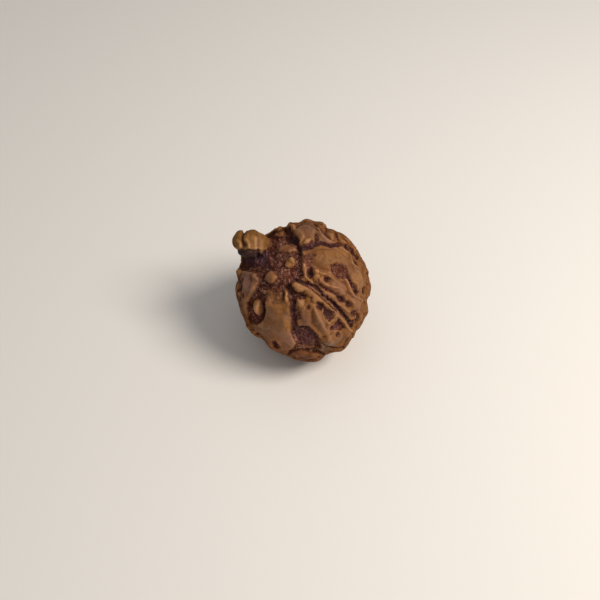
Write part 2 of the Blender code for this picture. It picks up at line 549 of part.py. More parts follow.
def rim(p):
    """Outline radius by heading on the drawing, p in body coordinates."""
    k = VIEW_DIST / (VIEW_DIST - p[:, 2])
    x, y = p[:, 0] * k, p[:, 1] * k
    return np.degrees(np.arctan2(y, x)) % 360, np.hypot(x, y)


def smooth_ring(a, sigma):
    n = len(a)
    x = np.arange(n)
    w = np.exp(-0.5 * (np.minimum(x, n - x) / sigma) ** 2)
    w /= w.sum()
    return np.real(np.fft.ifft(np.fft.fft(a) * np.fft.fft(w)))


def outline_target(bins=360):
    o = np.array(OUTLINE, float)
    x, y = o[:, 0] - SHEET[0], SHEET[1] - o[:, 1]
    a, r = np.degrees(np.arctan2(y, x)) % 360, np.hypot(x, y) + 0.8
    k = np.argsort(a)
    a, r = a[k], r[k]
    return np.interp(np.arange(bins) * 360 / bins, np.concatenate((a - 360, a, a + 360)), np.concatenate((r, r, r)))


def body(d):
    h, low, cut, rough, tint, mat = relief(d)
    rad = BODY_R - 1.9 + h
    th = np.arctan2(np.hypot(d[:, 0], d[:, 1]), d[:, 2])
    head = np.degrees(np.arctan2(d[:, 1], d[:, 0])) % 360
    target = outline_target()
    wide = smooth(th, math.radians(15), math.radians(80)) * (1 - smooth(th, math.radians(95), math.radians(165)))
    near = np.exp(-(((th - math.radians(85.4)) / math.radians(13)) ** 2))
    for step in range(3):
        p = d * rad[:, None]
        a, r = rim(p)
        have = np.zeros(360)
        np.maximum.at(have, (a + 0.5).astype(int) % 360, r)
        have = np.where(have < 40, np.nan, have)
        ok = ~np.isnan(have)
        have = np.interp(np.arange(360), np.arange(360)[ok], have[ok])
        miss = target - have
        slow = smooth_ring(miss, 14)
        fast = smooth_ring(miss - slow, 1.2)
        grid = np.arange(-1, 362)
        rad = rad + np.interp(head, grid, slow[grid % 360]) * wide + np.interp(head, grid, fast[grid % 360]) * near
    return rad, h, low, cut, rough, tint, mat


def find_level():
    """Works out the skin's radius over the sheet, so that each mark falls where the drawing has it."""
    i = np.arange(-SPAN, SPAN + 1) * STEP
    x, y = np.meshgrid(i, i)
    x, y = x.ravel(), y.ravel()
    s = np.maximum(np.hypot(x, y), 1e-9)
    th = s / BODY_R
    d = np.stack((x / s * np.sin(th), y / s * np.sin(th), np.cos(th)), axis=1)
    w = np.exp(-0.5 * (np.arange(-5, 6) / 1.5) ** 2)
    w /= w.sum()
    for turn in range(3):
        a = body(d)[0].reshape(2 * SPAN + 1, 2 * SPAN + 1)
        for axis in (0, 1):
            pad = np.pad(a, [(5, 5) if k == axis else (0, 0) for k in (0, 1)], mode="edge")
            a = sum(w[k] * (pad[k:k + a.shape[0]] if axis == 0 else pad[:, k:k + a.shape[1]]) for k in range(11))
        LEVEL[:] = [a]


def warp(d, axis, near_, far_):
    """Draws directions in toward the axis, so that more points fall near it."""
    c = np.clip(d @ axis, -1, 1)
    a = np.arccos(c)
    e = d - axis * c[:, None]
    e /= np.maximum(np.linalg.norm(e, axis=1), 1e-9)[:, None]
    t = np.clip(a / far_, 0, 1)
    # slope near_ at the axis, 1 at far_
    b = far_ * (near_ * t + (1 - near_) * t ** 3 * (2.5 - 1.5 * t)) if near_ < 1 else a
    b = np.where(a < far_, b, a)
    return axis * np.cos(b)[:, None] + e * np.sin(b)[:, None]


def gather(d):
    """Draws directions toward the side that faces the drawing."""
    a = np.arccos(np.clip(d[:, 2], -1, 1)) / math.pi
    b = math.pi * (0.66 * a + 0.34 * a ** 3)
    s = np.maximum(np.hypot(d[:, 0], d[:, 1]), 1e-9)
    return np.stack((d[:, 0] / s * np.sin(b), d[:, 1] / s * np.sin(b), np.cos(b)), axis=1)


def build(d0):
    find_level()
    ax, rr = stub_axis()
    foot = ax[0] / np.linalg.norm(ax[0])
    d = warp(gather(d0), foot, 0.33, math.radians(70))
    rad, h, low, cut, rough, tint, mat = body(d)
    ang = np.arccos(np.clip(d @ foot, -1, 1))
    arc = ang * BODY_R
    fr = STUB_FOOT_R
    # flare of the skin round the foot
    rad = rad + 1.0 * np.exp(-((np.maximum(arc - fr, 0) / 2.6) ** 2)) * (arc >= fr)
    p = d * rad[:, None]
    inside = np.where(arc < fr)[0]
    t = 1 - arc[inside] / fr
    di = d[inside]
    e = di - foot * (di @ foot)[:, None]
    e /= np.maximum(np.linalg.norm(e, axis=1), 1e-9)[:, None]
    # distance run along the stub and over its end, by even steps of surface
    seg = np.concatenate(([0], np.cumsum(np.linalg.norm(np.diff(ax, axis=0), axis=1))))
    length = seg[-1]
    endr = rr[-1]
    total = length + endr * 1.35
    s = total * (1 - (1 - t) ** 0.8)
    along = np.minimum(s, length)
    c = np.stack([np.interp(along, seg, ax[:, i]) for i in range(3)], axis=1)
    tang = np.gradient(ax, axis=0)
    tang /= np.linalg.norm(tang, axis=1)[:, None]
    tg = np.stack([np.interp(along, seg, tang[:, i]) for i in range(3)], axis=1)
    tg /= np.linalg.norm(tg, axis=1)[:, None]
    r = np.interp(along, seg, rr)
    over = np.clip((s - length) / (endr * 1.35), 0, 1) * math.pi / 2
    side = e - tg * np.einsum("ij,ij->i", e, tg)[:, None]
    side /= np.maximum(np.linalg.norm(side, axis=1), 1e-9)[:, None]
    q = c + side * (r * np.cos(over) ** 0.8)[:, None] + tg * (endr * 0.86 * np.sin(over))[:, None]
    # relief on the stub, read from its own place
    n1 = noise(q / 8.0, 31)
    n2 = noise(q / 4.0, 32)
    n3 = noise(q / 2.0, 33)
    out = side * np.cos(over)[:, None] + tg * np.sin(over)[:, None]
    k = VIEW_DIST / (VIEW_DIST - q[:, 2])
    u = SHEET[0] + q[:, 0] * k
    v = SHEET[1] - q[:, 1] * k
    uv = np.stack((u, v), axis=1)
    seen = smooth(out[:, 2], 0.0, 0.45)
    bend = np.array([(244.8, 229), (243.8, 232), (242.4, 235), (241.9, 239), (242.3, 243), (242.8, 248)])
    fold = np.exp(-((line_distance(uv, curve(bend)) / 1.0) ** 2)) * smooth(out[:, 2] + 0.8 * out[:, 1], -0.1, 0.4)
    notch = np.exp(-(((u - 244.8) / 1.5) ** 2)) * smooth(out[:, 1], 0.3, 0.8)
    fold2 = np.exp(-(((u - 243.8) / 1.8) ** 2)) * smooth(-out[:, 2] - 0.8 * out[:, 1], -0.1, 0.5) * 0.5
    dent = np.exp(-(((u - 244.8) / 1.5) ** 2) - ((v - 244.8) / 2.6) ** 2) * seen
    lip = np.exp(-((line_distance(uv, curve(np.array([(245.6, 239.8), (247.6, 241.8), (248.8, 244.2), (249.2, 247)]))) / 0.85) ** 2)) * seen
    wart = np.exp(-((line_distance(uv, curve(np.array([(237.6, 240.4), (239.4, 242.4), (240.2, 244.6), (240.4, 246.6)]))) / 1.1) ** 2)) * seen
    rib = np.exp(-(((u - 255.8) / 0.9) ** 2)) * smooth(v, 235, 239) * seen
    rib2 = np.exp(-(((u - 261.0) / 1.2) ** 2)) * smooth(v, 237, 241) * seen
    dip = np.exp(-(((u - 258.3) / 1.1) ** 2)) * smooth(v, 235, 239) * seen
    ledge = 249.0 + 0.09 * np.maximum(u - 256, 0) + 1.3 * noise(q / 5.0, 34) + 0.5 * noise(q / 2.5, 35)
    edge = np.exp(-(((v - ledge + 0.9) / 1.0) ** 2)) * seen
    under = smooth(v - ledge, -0.2, 1.4) * smooth(out[:, 2], -0.7, -0.1) * (1 - 0.75 * smooth(u, 258, 262) * smooth(-v, -254, -251))
    bump = 0.9 * n1 + 0.6 * n2 + 0.3 * n3 - 3.2 * fold - 1.6 * notch - 1.5 * fold2 - 2.2 * dent + 1.8 * lip + 0.8 * wart
    bump = bump + 1.5 * rib + 1.1 * rib2 - 1.4 * dip + 0.5 * edge - 1.2 * under * (1 - smooth(v - ledge, 1.4, 3.0))
    bump = bump + 2.6 * smooth(v - ledge, 0.8, 3.0) * smooth(out[:, 2], -0.9, -0.3) * smooth(-u, -258, -246)
    q = q + out * bump[:, None]
    # join to the skin's ring at the foot
    ring_d = foot * math.cos(fr / BODY_R) + e * math.sin(fr / BODY_R)
    heads = np.arctan2(e @ np.cross(foot, (0, 0, 1.0)), e @ np.cross(np.cross(foot, (0, 0, 1.0)), foot))
    near = np.where((arc >= fr) & (arc < fr + 2.2))[0]
    dn = d[near]
    en = dn - foot * (dn @ foot)[:, None]
    en /= np.linalg.norm(en, axis=1)[:, None]
    hn = np.arctan2(en @ np.cross(foot, (0, 0, 1.0)), en @ np.cross(np.cross(foot, (0, 0, 1.0)), foot))
    order = np.argsort(hn)
    hh, rn = hn[order], rad[near][order]
    w = 9
    rn = np.convolve(np.concatenate((rn[-w:], rn, rn[:w])), np.ones(2 * w + 1) / (2 * w + 1), "valid")
    ring_r = np.interp(heads, np.concatenate((hh - 2 * math.pi, hh, hh + 2 * math.pi)), np.concatenate((rn, rn, rn)))
    ring = ring_d * ring_r[:, None]
    m = smooth(s / total, 0.0, 0.36)[:, None]
    lift = (s * 0.6)[:, None] * foot
    p[inside] = (ring + lift * (1 - m) - e * (s * 0.15)[:, None]) * (1 - m) + q * m
    stub = np.zeros(len(d))
    stub[inside] = smooth(s / total, 0.025, 0.245)
    shade = np.zeros(len(d))
    shade[inside] = np.clip(fold + 0.9 * dent + 0.35 * dip, 0, 1)
    crest = np.zeros(len(d))
    crest[inside] = np.clip(lip + rib + 0.5 * rib2 + 0.8 * wart + 0.3 * edge, 0, 1)
    dark = np.zeros(len(d))
    dark[inside] = under
    # the crook below the outgrowth lies in its lee
    k = VIEW_DIST / (VIEW_DIST - p[:, 2])
    u, v = SHEET[0] + p[:, 0] * k, SHEET[1] - p[:, 1] * k
    lee = smooth(u, 236, 240) * smooth(-u, -271, -262) * smooth(v, 249.5, 252) * smooth(-v, -270, -257) * smooth(p[:, 2], -20, 0)
    # the skin is worn even round the flat spot
    reach = p @ DOWN
    off = np.linalg.norm(p - DOWN * reach[:, None], axis=1)
    w = (1 - smooth(off, FLAT_R, FLAT_R + 13)) * (reach > 0)
    goal = FLAT_AT + 2.4 - 2.4 * (off / FLAT_R) ** 2
    p = p + DOWN * ((goal - reach) * w * 0.9)[:, None]
    return p, {"low": low, "cut": cut, "rough": rough, "stub": stub, "fold": shade, "tint": tint, "mat": mat, "under": dark,
               "crest": crest, "lee": lee}


def make_material(name, color, roughness, metallic):
    m = bpy.data.materials.new(name)
    m.use_nodes = True
    b = m.node_tree.nodes["Principled BSDF"]
    b.inputs["Base Color"].default_value = (*color, 1.0)
    b.inputs["Roughness"].default_value = roughness
    b.inputs["Metallic"].default_value = metallic
    m.diffuse_color = (*color, 1.0)
    return m


def make_seed():
    # an even ball of triangles, whose points then go to the seed's surface
    bm = bmesh.new()
    bmesh.ops.create_icosphere(bm, subdivisions=7, radius=1.0)
    d = np.array([v.co[:] for v in bm.verts])
    d /= np.linalg.norm(d, axis=1)[:, None]
    points, _ = build(d)
    for v, co in zip(bm.verts, to_world(points) * UNIT):
        v.co = co
    me = bpy.data.meshes.new("rudraksha_seed")
    bm.to_mesh(me)
    bm.free()
    ob = bpy.data.objects.new("rudraksha_seed", me)
    bpy.context.scene.collection.objects.link(ob)

    # fewer triangles where the skin is smooth
    thin = ob.modifiers.new("thin_out", "DECIMATE")
    thin.decimate_type = "COLLAPSE"
    thin.ratio = FACES / len(me.polygons)
    slim = bpy.data.meshes.new_from_object(ob.evaluated_get(bpy.context.evaluated_depsgraph_get()))
    ob.modifiers.clear()
    ob.data = slim
    bpy.data.meshes.remove(me)
    slim.name = "rudraksha_seed"

    # the worn flat spot: cut level, and closed with one flat face
    bm = bmesh.new()
    bm.from_mesh(slim)
    bmesh.ops.bisect_plane(
        bm,
        geom=bm.verts[:] + bm.edges[:] + bm.faces[:],
        dist=1e-7,
        plane_co=(0, 0, -FLAT_AT * UNIT),
        plane_no=(0, 0, -1),
        clear_outer=True,
    )
    rim = [e for e in bm.edges if e.is_boundary]
    for e in rim:
        for v in e.verts:
            v.co.z = -FLAT_AT * UNIT
    bmesh.ops.holes_fill(bm, edges=rim, sides=0)
    bmesh.ops.dissolve_degenerate(bm, dist=1e-6, edges=bm.edges[:])
    bmesh.ops.triangulate(bm, faces=[f for f in bm.faces if len(f.verts) > 3])
    bmesh.ops.recalc_face_normals(bm, faces=bm.faces[:])
    co = np.array([v.co[:] for v in bm.verts])
    low, high = co.min(axis=0), co.max(axis=0)
    move = np.array((-(low[0] + high[0]) / 2, -(low[1] + high[1]) / 2, -low[2]))
    for v in bm.verts:
        v.co = v.co + type(v.co)(move)
    bm.to_mesh(slim)
    bm.free()
    slim.shade_smooth()
    slim.set_sharp_from_angle(angle=math.radians(70))
    slim.materials.clear()
    slim.materials.append(make_material("seed_skin", (0.30, 0.14, 0.06), 0.5, 0.0))
    return ob


for ob in list(bpy.data.objects):
    bpy.data.objects.remove(ob, do_unlink=True)
make_seed()
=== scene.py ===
"""The rudraksha seed's finished surface and its picture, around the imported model."""
import math

import bpy
import numpy as np
from mathutils import Matrix, Vector


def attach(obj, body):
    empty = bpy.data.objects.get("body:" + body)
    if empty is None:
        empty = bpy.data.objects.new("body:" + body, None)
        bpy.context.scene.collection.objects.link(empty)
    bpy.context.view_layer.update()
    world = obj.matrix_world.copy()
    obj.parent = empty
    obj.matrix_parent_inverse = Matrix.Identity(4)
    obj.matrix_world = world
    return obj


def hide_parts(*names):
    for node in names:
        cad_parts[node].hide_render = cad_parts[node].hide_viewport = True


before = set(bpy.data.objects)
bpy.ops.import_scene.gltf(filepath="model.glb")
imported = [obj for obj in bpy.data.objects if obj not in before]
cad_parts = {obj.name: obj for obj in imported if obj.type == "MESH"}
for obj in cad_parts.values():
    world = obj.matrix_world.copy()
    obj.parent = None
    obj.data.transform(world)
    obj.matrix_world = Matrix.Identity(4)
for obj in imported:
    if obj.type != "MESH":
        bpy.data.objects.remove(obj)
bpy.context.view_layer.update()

NODE = "rudraksha_seed"

# ---- the shape, as in the construction, at full detail ----
UNIT = 0.000165  # one unit of the drawing
BODY_R = 67.5  # ball radius, units
SHEET = (303.0, 291.0)  # the ball's middle on the drawing
VIEW_UP = math.radians(50.0)  # the drawing looks down by this much
VIEW_DIST = 838.0  # and from this far, units
FLAT_AT = 64.0  # the worn flat spot, below the ball's middle, units
FLAT_R = 17.0  # its radius, units
STUB_FOOT_R = 14.0  # radius of the outgrowth's foot, units
FIBRE_RELIEF = 1.0  # share of the fibres' own relief
GRID = 128  # squares along each side of the ball's six grids

SE, CE = math.sin(VIEW_UP), math.cos(VIEW_UP)
DOWN = np.array((0.0, -CE, -SE))


def to_world(p):
    x, y, z = p[:, 0], p[:, 1], p[:, 2]
    return np.stack((x, y * SE - z * CE, y * CE + z * SE), axis=1)


def sight(u, v, r):
    """Direction of the point of a ball of radius r that lies at u, v on the drawing."""
    a, b = u - SHEET[0], SHEET[1] - v
    o, k = VIEW_DIST, math.hypot(u - SHEET[0], SHEET[1] - v)
    lim = r * o / math.sqrt(o * o - r * r) * 0.9995
    over = max(0.0, k - lim)
    if k > lim:
        a, b = a * lim / k, b * lim / k
    dd = a * a + b * b + o * o
    t = (o * o - math.sqrt(max(0.0, o ** 4 - dd * (o * o - r * r)))) / dd
    p = np.array((a * t, b * t, o - o * t))
    return p / np.linalg.norm(p), over


LEVEL = []  # the skin's evened radius over the sheet, once it is known
STEP, SPAN = 2.0, 59


def level_at(p):
    """Radius of the skin at a place on the sheet."""
    if not LEVEL:
        return BODY_R
    x = min(max(p[0] / STEP + SPAN, 0.0), 2 * SPAN - 0.001)
    y = min(max(p[1] / STEP + SPAN, 0.0), 2 * SPAN - 0.001)
    i, j = int(x), int(y)
    f, g = x - i, y - j
    a = LEVEL[0]
    return (a[j, i] * (1 - f) + a[j, i + 1] * f) * (1 - g) + (a[j + 1, i] * (1 - f) + a[j + 1, i + 1] * f) * g


def direction(u, v):
    d, over = sight(u, v, BODY_R)
    for turn in range(5 if LEVEL else 0):
        d, over = sight(u, v, level_at(flat(d[None])[0][0]))
    return d, over


def flat(d):
    """Unrolls directions on a sheet: distance from the view axis is arc length."""
    s = np.hypot(d[:, 0], d[:, 1])
    th = np.arctan2(s, d[:, 2])
    k = BODY_R * th / np.maximum(s, 1e-9)
    return np.stack((d[:, 0] * k, d[:, 1] * k), axis=1), th


def sheet(points):
    out = []
    for u, v in points:
        d, over = direction(u - 0.7, v + 0.1)
        p, th = flat(d[None])
        k = np.linalg.norm(p[0])
        out.append(p[0] * (1.0 + over / max(k, 1e-6)))
    return np.array(out)


def hash3(i, j, k, seed):
    h = (i * 374761393 + j * 668265263 + k * 2147483647 + seed * 974634777) & 0xFFFFFFFF
    h = ((h ^ (h >> 13)) * 1274126177) & 0xFFFFFFFF
    h = ((h ^ (h >> 16)) * 2246822519) & 0xFFFFFFFF
    return h ^ (h >> 15)


def noise(p, seed=0):
    """Gradient noise, about -1..1."""
    f = np.floor(p).astype(np.int64)
    r = p - f
    w = r * r * r * (r * (r * 6 - 15) + 10)
    out = np.zeros(len(p))
    for dx in (0, 1):
        for dy in (0, 1):
            for dz in (0, 1):
                h = hash3(f[:, 0] + dx, f[:, 1] + dy, f[:, 2] + dz, seed)
                a = (h & 1023) / 1024.0 * 2 * math.pi
                c = ((h >> 10) & 1023) / 511.5 - 1.0
                s = np.sqrt(np.maximum(0, 1 - c * c))
                g = s * np.cos(a) * (r[:, 0] - dx) + s * np.sin(a) * (r[:, 1] - dy) + c * (r[:, 2] - dz)
                out += (
                    g
                    * (w[:, 0] if dx else 1 - w[:, 0])
                    * (w[:, 1] if dy else 1 - w[:, 1])
                    * (w[:, 2] if dz else 1 - w[:, 2])
                )
    return out * 1.5


def smooth(x, lo, hi):
    t = np.clip((x - lo) / (hi - lo), 0, 1)
    return t * t * (3 - 2 * t)


def line_distance(p, pts):
    best = np.full(len(p), 1e9)
    for a, b in zip(pts[:-1], pts[1:]):
        ab = b - a
        t = np.clip(((p - a) @ ab) / max(ab @ ab, 1e-9), 0, 1)
        best = np.minimum(best, np.linalg.norm(p - a - t[:, None] * ab, axis=1))
    return best


def curve(pts, n=6):
    """Smooth curve through the points (Catmull-Rom)."""
    pts = np.asarray(pts, float)
    if len(pts) < 3:
        return pts
    q = np.vstack((2 * pts[0] - pts[1], pts, 2 * pts[-1] - pts[-2]))
    out = []
    for i in range(1, len(q) - 2):
        a, b, c, d = q[i - 1], q[i], q[i + 1], q[i + 2]
        for t in np.linspace(0, 1, n, endpoint=False):
            out.append(0.5 * (2 * b + (c - a) * t + (2 * a - 5 * b + 4 * c - d) * t * t + (3 * b - a - 3 * c + d) * t ** 3))
    out.append(pts[-1])
    return np.array(out)


def inside_distance(p, pts):
    """Signed distance to a closed outline, positive inside."""
    ring = np.vstack((pts, pts[:1]))
    d = line_distance(p, ring)
    odd = np.zeros(len(p), bool)
    for a, b in zip(ring[:-1], ring[1:]):
        hit = (a[1] > p[:, 1]) != (b[1] > p[:, 1])
        x = (b[0] - a[0]) * (p[:, 1] - a[1]) / ((b[1] - a[1]) or 1e-9) + a[0]
        odd ^= hit & (p[:, 0] < x)
    return np.where(odd, d, -d)


def oval(p, u, v, a, b, turn):
    """Radius in an oval's own measure, 1 on its edge. The oval is true on the surface, turn clockwise on the drawing."""
    c = sheet([(u, v)])[0]
    t = -math.radians(turn)
    q = p - c
    x = q[:, 0] * math.cos(t) + q[:, 1] * math.sin(t)
    y = -q[:, 0] * math.sin(t) + q[:, 1] * math.cos(t)
    return np.sqrt((x / a) ** 2 + (y / b) ** 2)


# ---- the drawing -------------------------------------------------------------------------------------------------
HOLLOW = [  # outline, depth, softness
    (
        [(238, 265), (240, 257), (246, 249), (254, 241), (262, 235), (269, 231), (275, 230), (281, 233), (288, 234),
         (294, 235.4), (300, 242),
         (303, 250), (301.5, 262), (303, 270), (306, 276), (301, 280), (293, 283), (292, 292), (284, 289), (275, 288.5),
         (268, 291), (267.4, 298), (267.4, 312), (264.8, 320.4), (258.4, 325), (252.2, 323.4), (248.6, 315), (248, 303), (252, 296),
         (258, 289),
         (260.5, 280), (257, 274), (250, 272.5), (245, 271), (240, 269.5)],
        4.6, 3.2,
    ),
]
BUMPS = [  # u, v, half length, half width, turn, height, squareness, tint: 1 pale wood, -1 ruddy
    (288, 248, 12.0, 5.0, 3, 4.2, 2.8, -0.8),
    (290.5, 261.5, 6.6, 6.4, 0, 3.8, 2.4, 0.1),
    (292.5, 260, 3.6, 3.8, 10, 5.0, 2.6, 0.6),
    (270.8, 277, 7.0, 7.2, 0, 4.4, 2.5, -0.1),
    (284, 276.5, 7.0, 9.0, 0, 1.3, 2.0, -0.2),
    (255.5, 276.5, 4.2, 6.2, 10, 2.0, 2.4, -0.9),
    (252.5, 286, 4.6, 8.0, 14, 2.0, 2.4, -0.6),
    (246.5, 283, 6.0, 9.0, 8, 2.6, 2.2, 0.0),
    (256.2, 308.4, 8.0, 11.0, 3, 3.8, 2.0, 0.1),
    (258.4, 307.4, 2.6, 9.0, 4, 4.8, 1.8, 0.9),
    (266, 292, 2.6, 2.6, 0, 3.2, 2.2, 0.9),
    (287.8, 297, 2.4, 5.4, 0, 3.2, 2.4, 1.0),
    (300.0, 287, 9.2, 5.4, 8, 5.0, 3.4, 1.0),
    (311, 292.5, 7.5, 4.6, 36, 2.8, 2.6, 0.6),
    (317.5, 298.5, 6.6, 5.4, 38, 2.8, 3.0, 0.6),
    (301.0, 302.8, 4.8, 4.2, 4, 4.0, 2.5, 0.8),
    (302.6, 308.4, 3.6, 6.6, -12, 3.2, 2.2, 0.7),
    (306.4, 315.5, 7.2, 12.0, -10, 1.9, 2.0, 0.1),
    (309.6, 242, 6.2, 3.4, 0, 3.4, 3.4, 0.9),
    (301.0, 240, 3.4, 3.6, 0, 2.4, 2.4, 0.5),
    (316.4, 271.6, 3.8, 2.6, 20, 3.6, 2.4, 0.9),
    (317.2, 277.5, 8.6, 3.8, 72, 2.6, 2.4, 0.1),
    (327.7, 278.6, 1.3, 1.1, 0, 1.4, 2.2, 0.4),
    (304.8, 265, 2.2, 2.8, -10, 2.4, 2.4, 0.9),
    (269, 302, 5.0, 5.6, 0, 1.3, 2.4, 0.5),
    (275, 311, 8.5, 9.5, 0, 1.6, 2.2, 0.2),
    (285.5, 328, 5.4, 20.0, 0, 2.3, 2.2, 0.1),
    (292.5, 340.5, 6.8, 8.0, 25, 2.2, 2.4, 0.2),
    (264, 326, 9.5, 6.5, -20, 1.8, 2.4, 0.0),
    (308, 230, 13.5, 13.0, 10, 3.0, 2.6, 0.0),
    (292, 228, 6.0, 7.0, 0, 2.4, 2.4, -0.5),
    (280, 231, 7.0, 6.5, -20, 2.8, 2.4, 0.0),
    (324.6, 226, 3.6, 5.0, 20, 2.4, 2.4, -0.4),
    (331.8, 235.4, 5.4, 4.6, 40, 2.2, 2.4, 0.0),
    (347.5, 240, 6.5, 4.0, 48, 2.2, 2.4, 0.1),
    (354.5, 249, 7.0, 3.6, 58, 2.0, 2.4, -0.4),
    (332.5, 258, 21.0, 12.0, 6, 3.0, 3.2, 0.0),
    (360, 279, 10.0, 15.0, 0, 2.6, 2.6, 0.0),
    (341, 288.5, 11.0, 8.0, 40, 2.8, 2.4, 0.1),
    (359, 304, 9.0, 9.0, 0, 2.2, 2.6, 0.0),
    (334, 342, 15.0, 8.5, -18, 2.8, 2.6, 0.0),
    (348, 335, 7.0, 7.0, 0, 1.8, 2.4, 0.0),
    (320, 321, 5.2, 14.0, -28, 2.0, 2.2, 0.0),
    (362, 318, 7.0, 10.0, 20, 2.0, 2.4, 0.0),
    (307.5, 356.6, 18.0, 8.0, 0, 1.6, 2.4, -0.9),
    (239, 273, 5.0, 6.4, 0, 3.4, 2.4, -0.1),
    (239, 290, 5.0, 10.0, 0, 3.4, 2.4, -0.2),
    (242, 311, 5.0, 8.0, 10, 1.6, 2.4, 0.0),
]
GROOVES = [  # points, half width, depth, shoulder share
    ([(295, 279), (301, 282), (309, 283.5), (316, 287), (321, 291.7), (328, 297.7), (334, 303.5), (340, 309.7),
      (345.5, 316), (349, 321), (352, 327)], 1.5, 4.6, 0.22),
    ([(304, 284.5), (311, 288.5), (318, 294), (325, 300.3), (331, 306), (337, 311)], 0.9, 2.4, 0.1),
    ([(299, 248), (304, 248.6), (309, 247.6), (314, 245), (320, 243.2), (326, 244.6), (332, 246.4), (340, 246),
      (345.5, 247.6), (350.5, 252), (357, 258)], 1.9, 4.6, 0.3),
    ([(345, 270), (348.5, 276.5), (351.5, 282), (354, 288), (358, 293)], 1.2, 3.4, 0.25),
    ([(350.5, 254), (353, 259.5), (356, 265), (359, 270)], 1.2, 2.0, 0.25),
    ([(316.4, 223.6), (319, 227.4), (323.5, 231.8), (327.4, 235.6), (331.3, 239.9), (335.2, 242.2), (339, 243)], 1.0, 3.6,
     0.2),
    ([(335.6, 232.4), (337.5, 237.2), (339.4, 240.8), (343, 245.2), (346, 248.4)], 1.0, 3.0, 0.2),
    ([(343.5, 239.4), (347.6, 244.4), (350.2, 247.8), (351.6, 251.6), (352.6, 255)], 1.3, 3.4, 0.25),
    ([(327.4, 229.6), (326, 233)], 1.0, 1.8, 0.3),
    ([(266, 300), (266.2, 311), (262.6, 320.6), (255.4, 322.4), (251, 316.4)], 1.7, 2.0, 0.3),
    ([(243.5, 279), (242.6, 286), (240, 296), (240.5, 303)], 1.2, 2.6, 0.2),
    ([(292.6, 290), (293.4, 300), (293.6, 309), (295.4, 320), (297.5, 328)], 2.7, 3.6, 0.2),
    ([(286.6, 355), (293, 351.4), (301, 349), (311, 351), (320.5, 352.5), (327, 353.4)], 1.7, 2.8, 0.3),
    ([(252, 330), (256.5, 333.6), (259.6, 333), (262.6, 335.6), (265.6, 339.6), (268.4, 343.4)], 1.4, 4.6, 0.2),
    ([(312.6, 307), (312.5, 315), (314, 323), (318, 331)], 2.2, 1.2, 0.3),
    ([(318, 302.5), (325, 307.5), (333, 312.5)], 1.3, 2.6, 0.2),
    ([(317, 281), (321, 285.5), (328, 289), (335, 293), (339, 297)], 1.6, 2.2, 0.3),
    ([(319.4, 284), (322.5, 286.6), (326, 289)], 1.3, 2.6, 0.2),
    ([(337, 283), (346, 290), (354, 296), (362, 301)], 1.2, 1.0, 0.3),
    ([(300, 252), (302, 260), (301, 268)], 1.8, 2.0, 0.3),
    ([(276, 287), (283, 291), (285.5, 299)], 1.4, 1.6, 0.3),
    ([(297, 325), (292, 333), (299, 346)], 1.2, 1.0, 0.3),
    ([(321, 340), (328, 346), (335, 348), (344, 347)], 1.3, 1.8, 0.3),
    ([(353, 331), (349, 338), (345, 345)], 1.4, 1.8, 0.3),
]
RIDGES = [  # points, half width, height
    ([(304.5, 275.5), (308.5, 279.5), (313, 283.5), (316.5, 286.5)], 0.9, 1.5),
    ([(315, 271), (321, 272.8), (326, 274.2), (332, 277.6), (339, 283.4)], 1.4, 2.0),
    ([(320.5, 279), (324, 283), (330, 285.5), (337, 287.6)], 1.3, 1.6),
    ([(313.6, 306), (317.4, 315), (322.6, 325), (328, 334), (331, 342)], 2.7, 2.0),
    ([(329, 323), (333.5, 318), (338, 315), (342, 318.5), (346, 325), (352, 331)], 1.2, 2.2),
    ([(319.2, 228), (321.4, 233), (325, 238), (330, 241.2), (335.5, 244)], 1.8, 2.2),
    ([(336.9, 233.6), (339.5, 237.4), (342.2, 241.3), (345.3, 245.2), (347.2, 248)], 1.3, 2.4),
    ([(340, 247.8), (345, 250.2), (349.6, 254.6), (351.6, 260), (355.4, 266.6)], 1.1, 2.0),
    ([(344.6, 279), (348.6, 284), (350.6, 290.5), (356, 296), (363, 301.5)], 1.2, 2.2),
    ([(252, 331.5), (257, 334.5)], 1.0, 1.2),
    ([(336.6, 253.5), (337.8, 257), (338.2, 261)], 1.4, 0.9),
    ([(325.6, 252), (327.2, 257), (327.4, 262)], 1.8, 1.0),
    ([(320, 291), (327, 296), (334, 301.5), (342, 306), (349, 312)], 1.1, 1.3),
    ([(330, 346), (337, 345.6), (346, 343)], 1.1, 1.0),
    ([(266, 259), (270, 261), (273, 266), (277, 270)], 0.8, 1.2),
    ([(287, 232.5), (294, 230.6), (300, 231.6), (304, 237)], 1.2, 1.2),
]
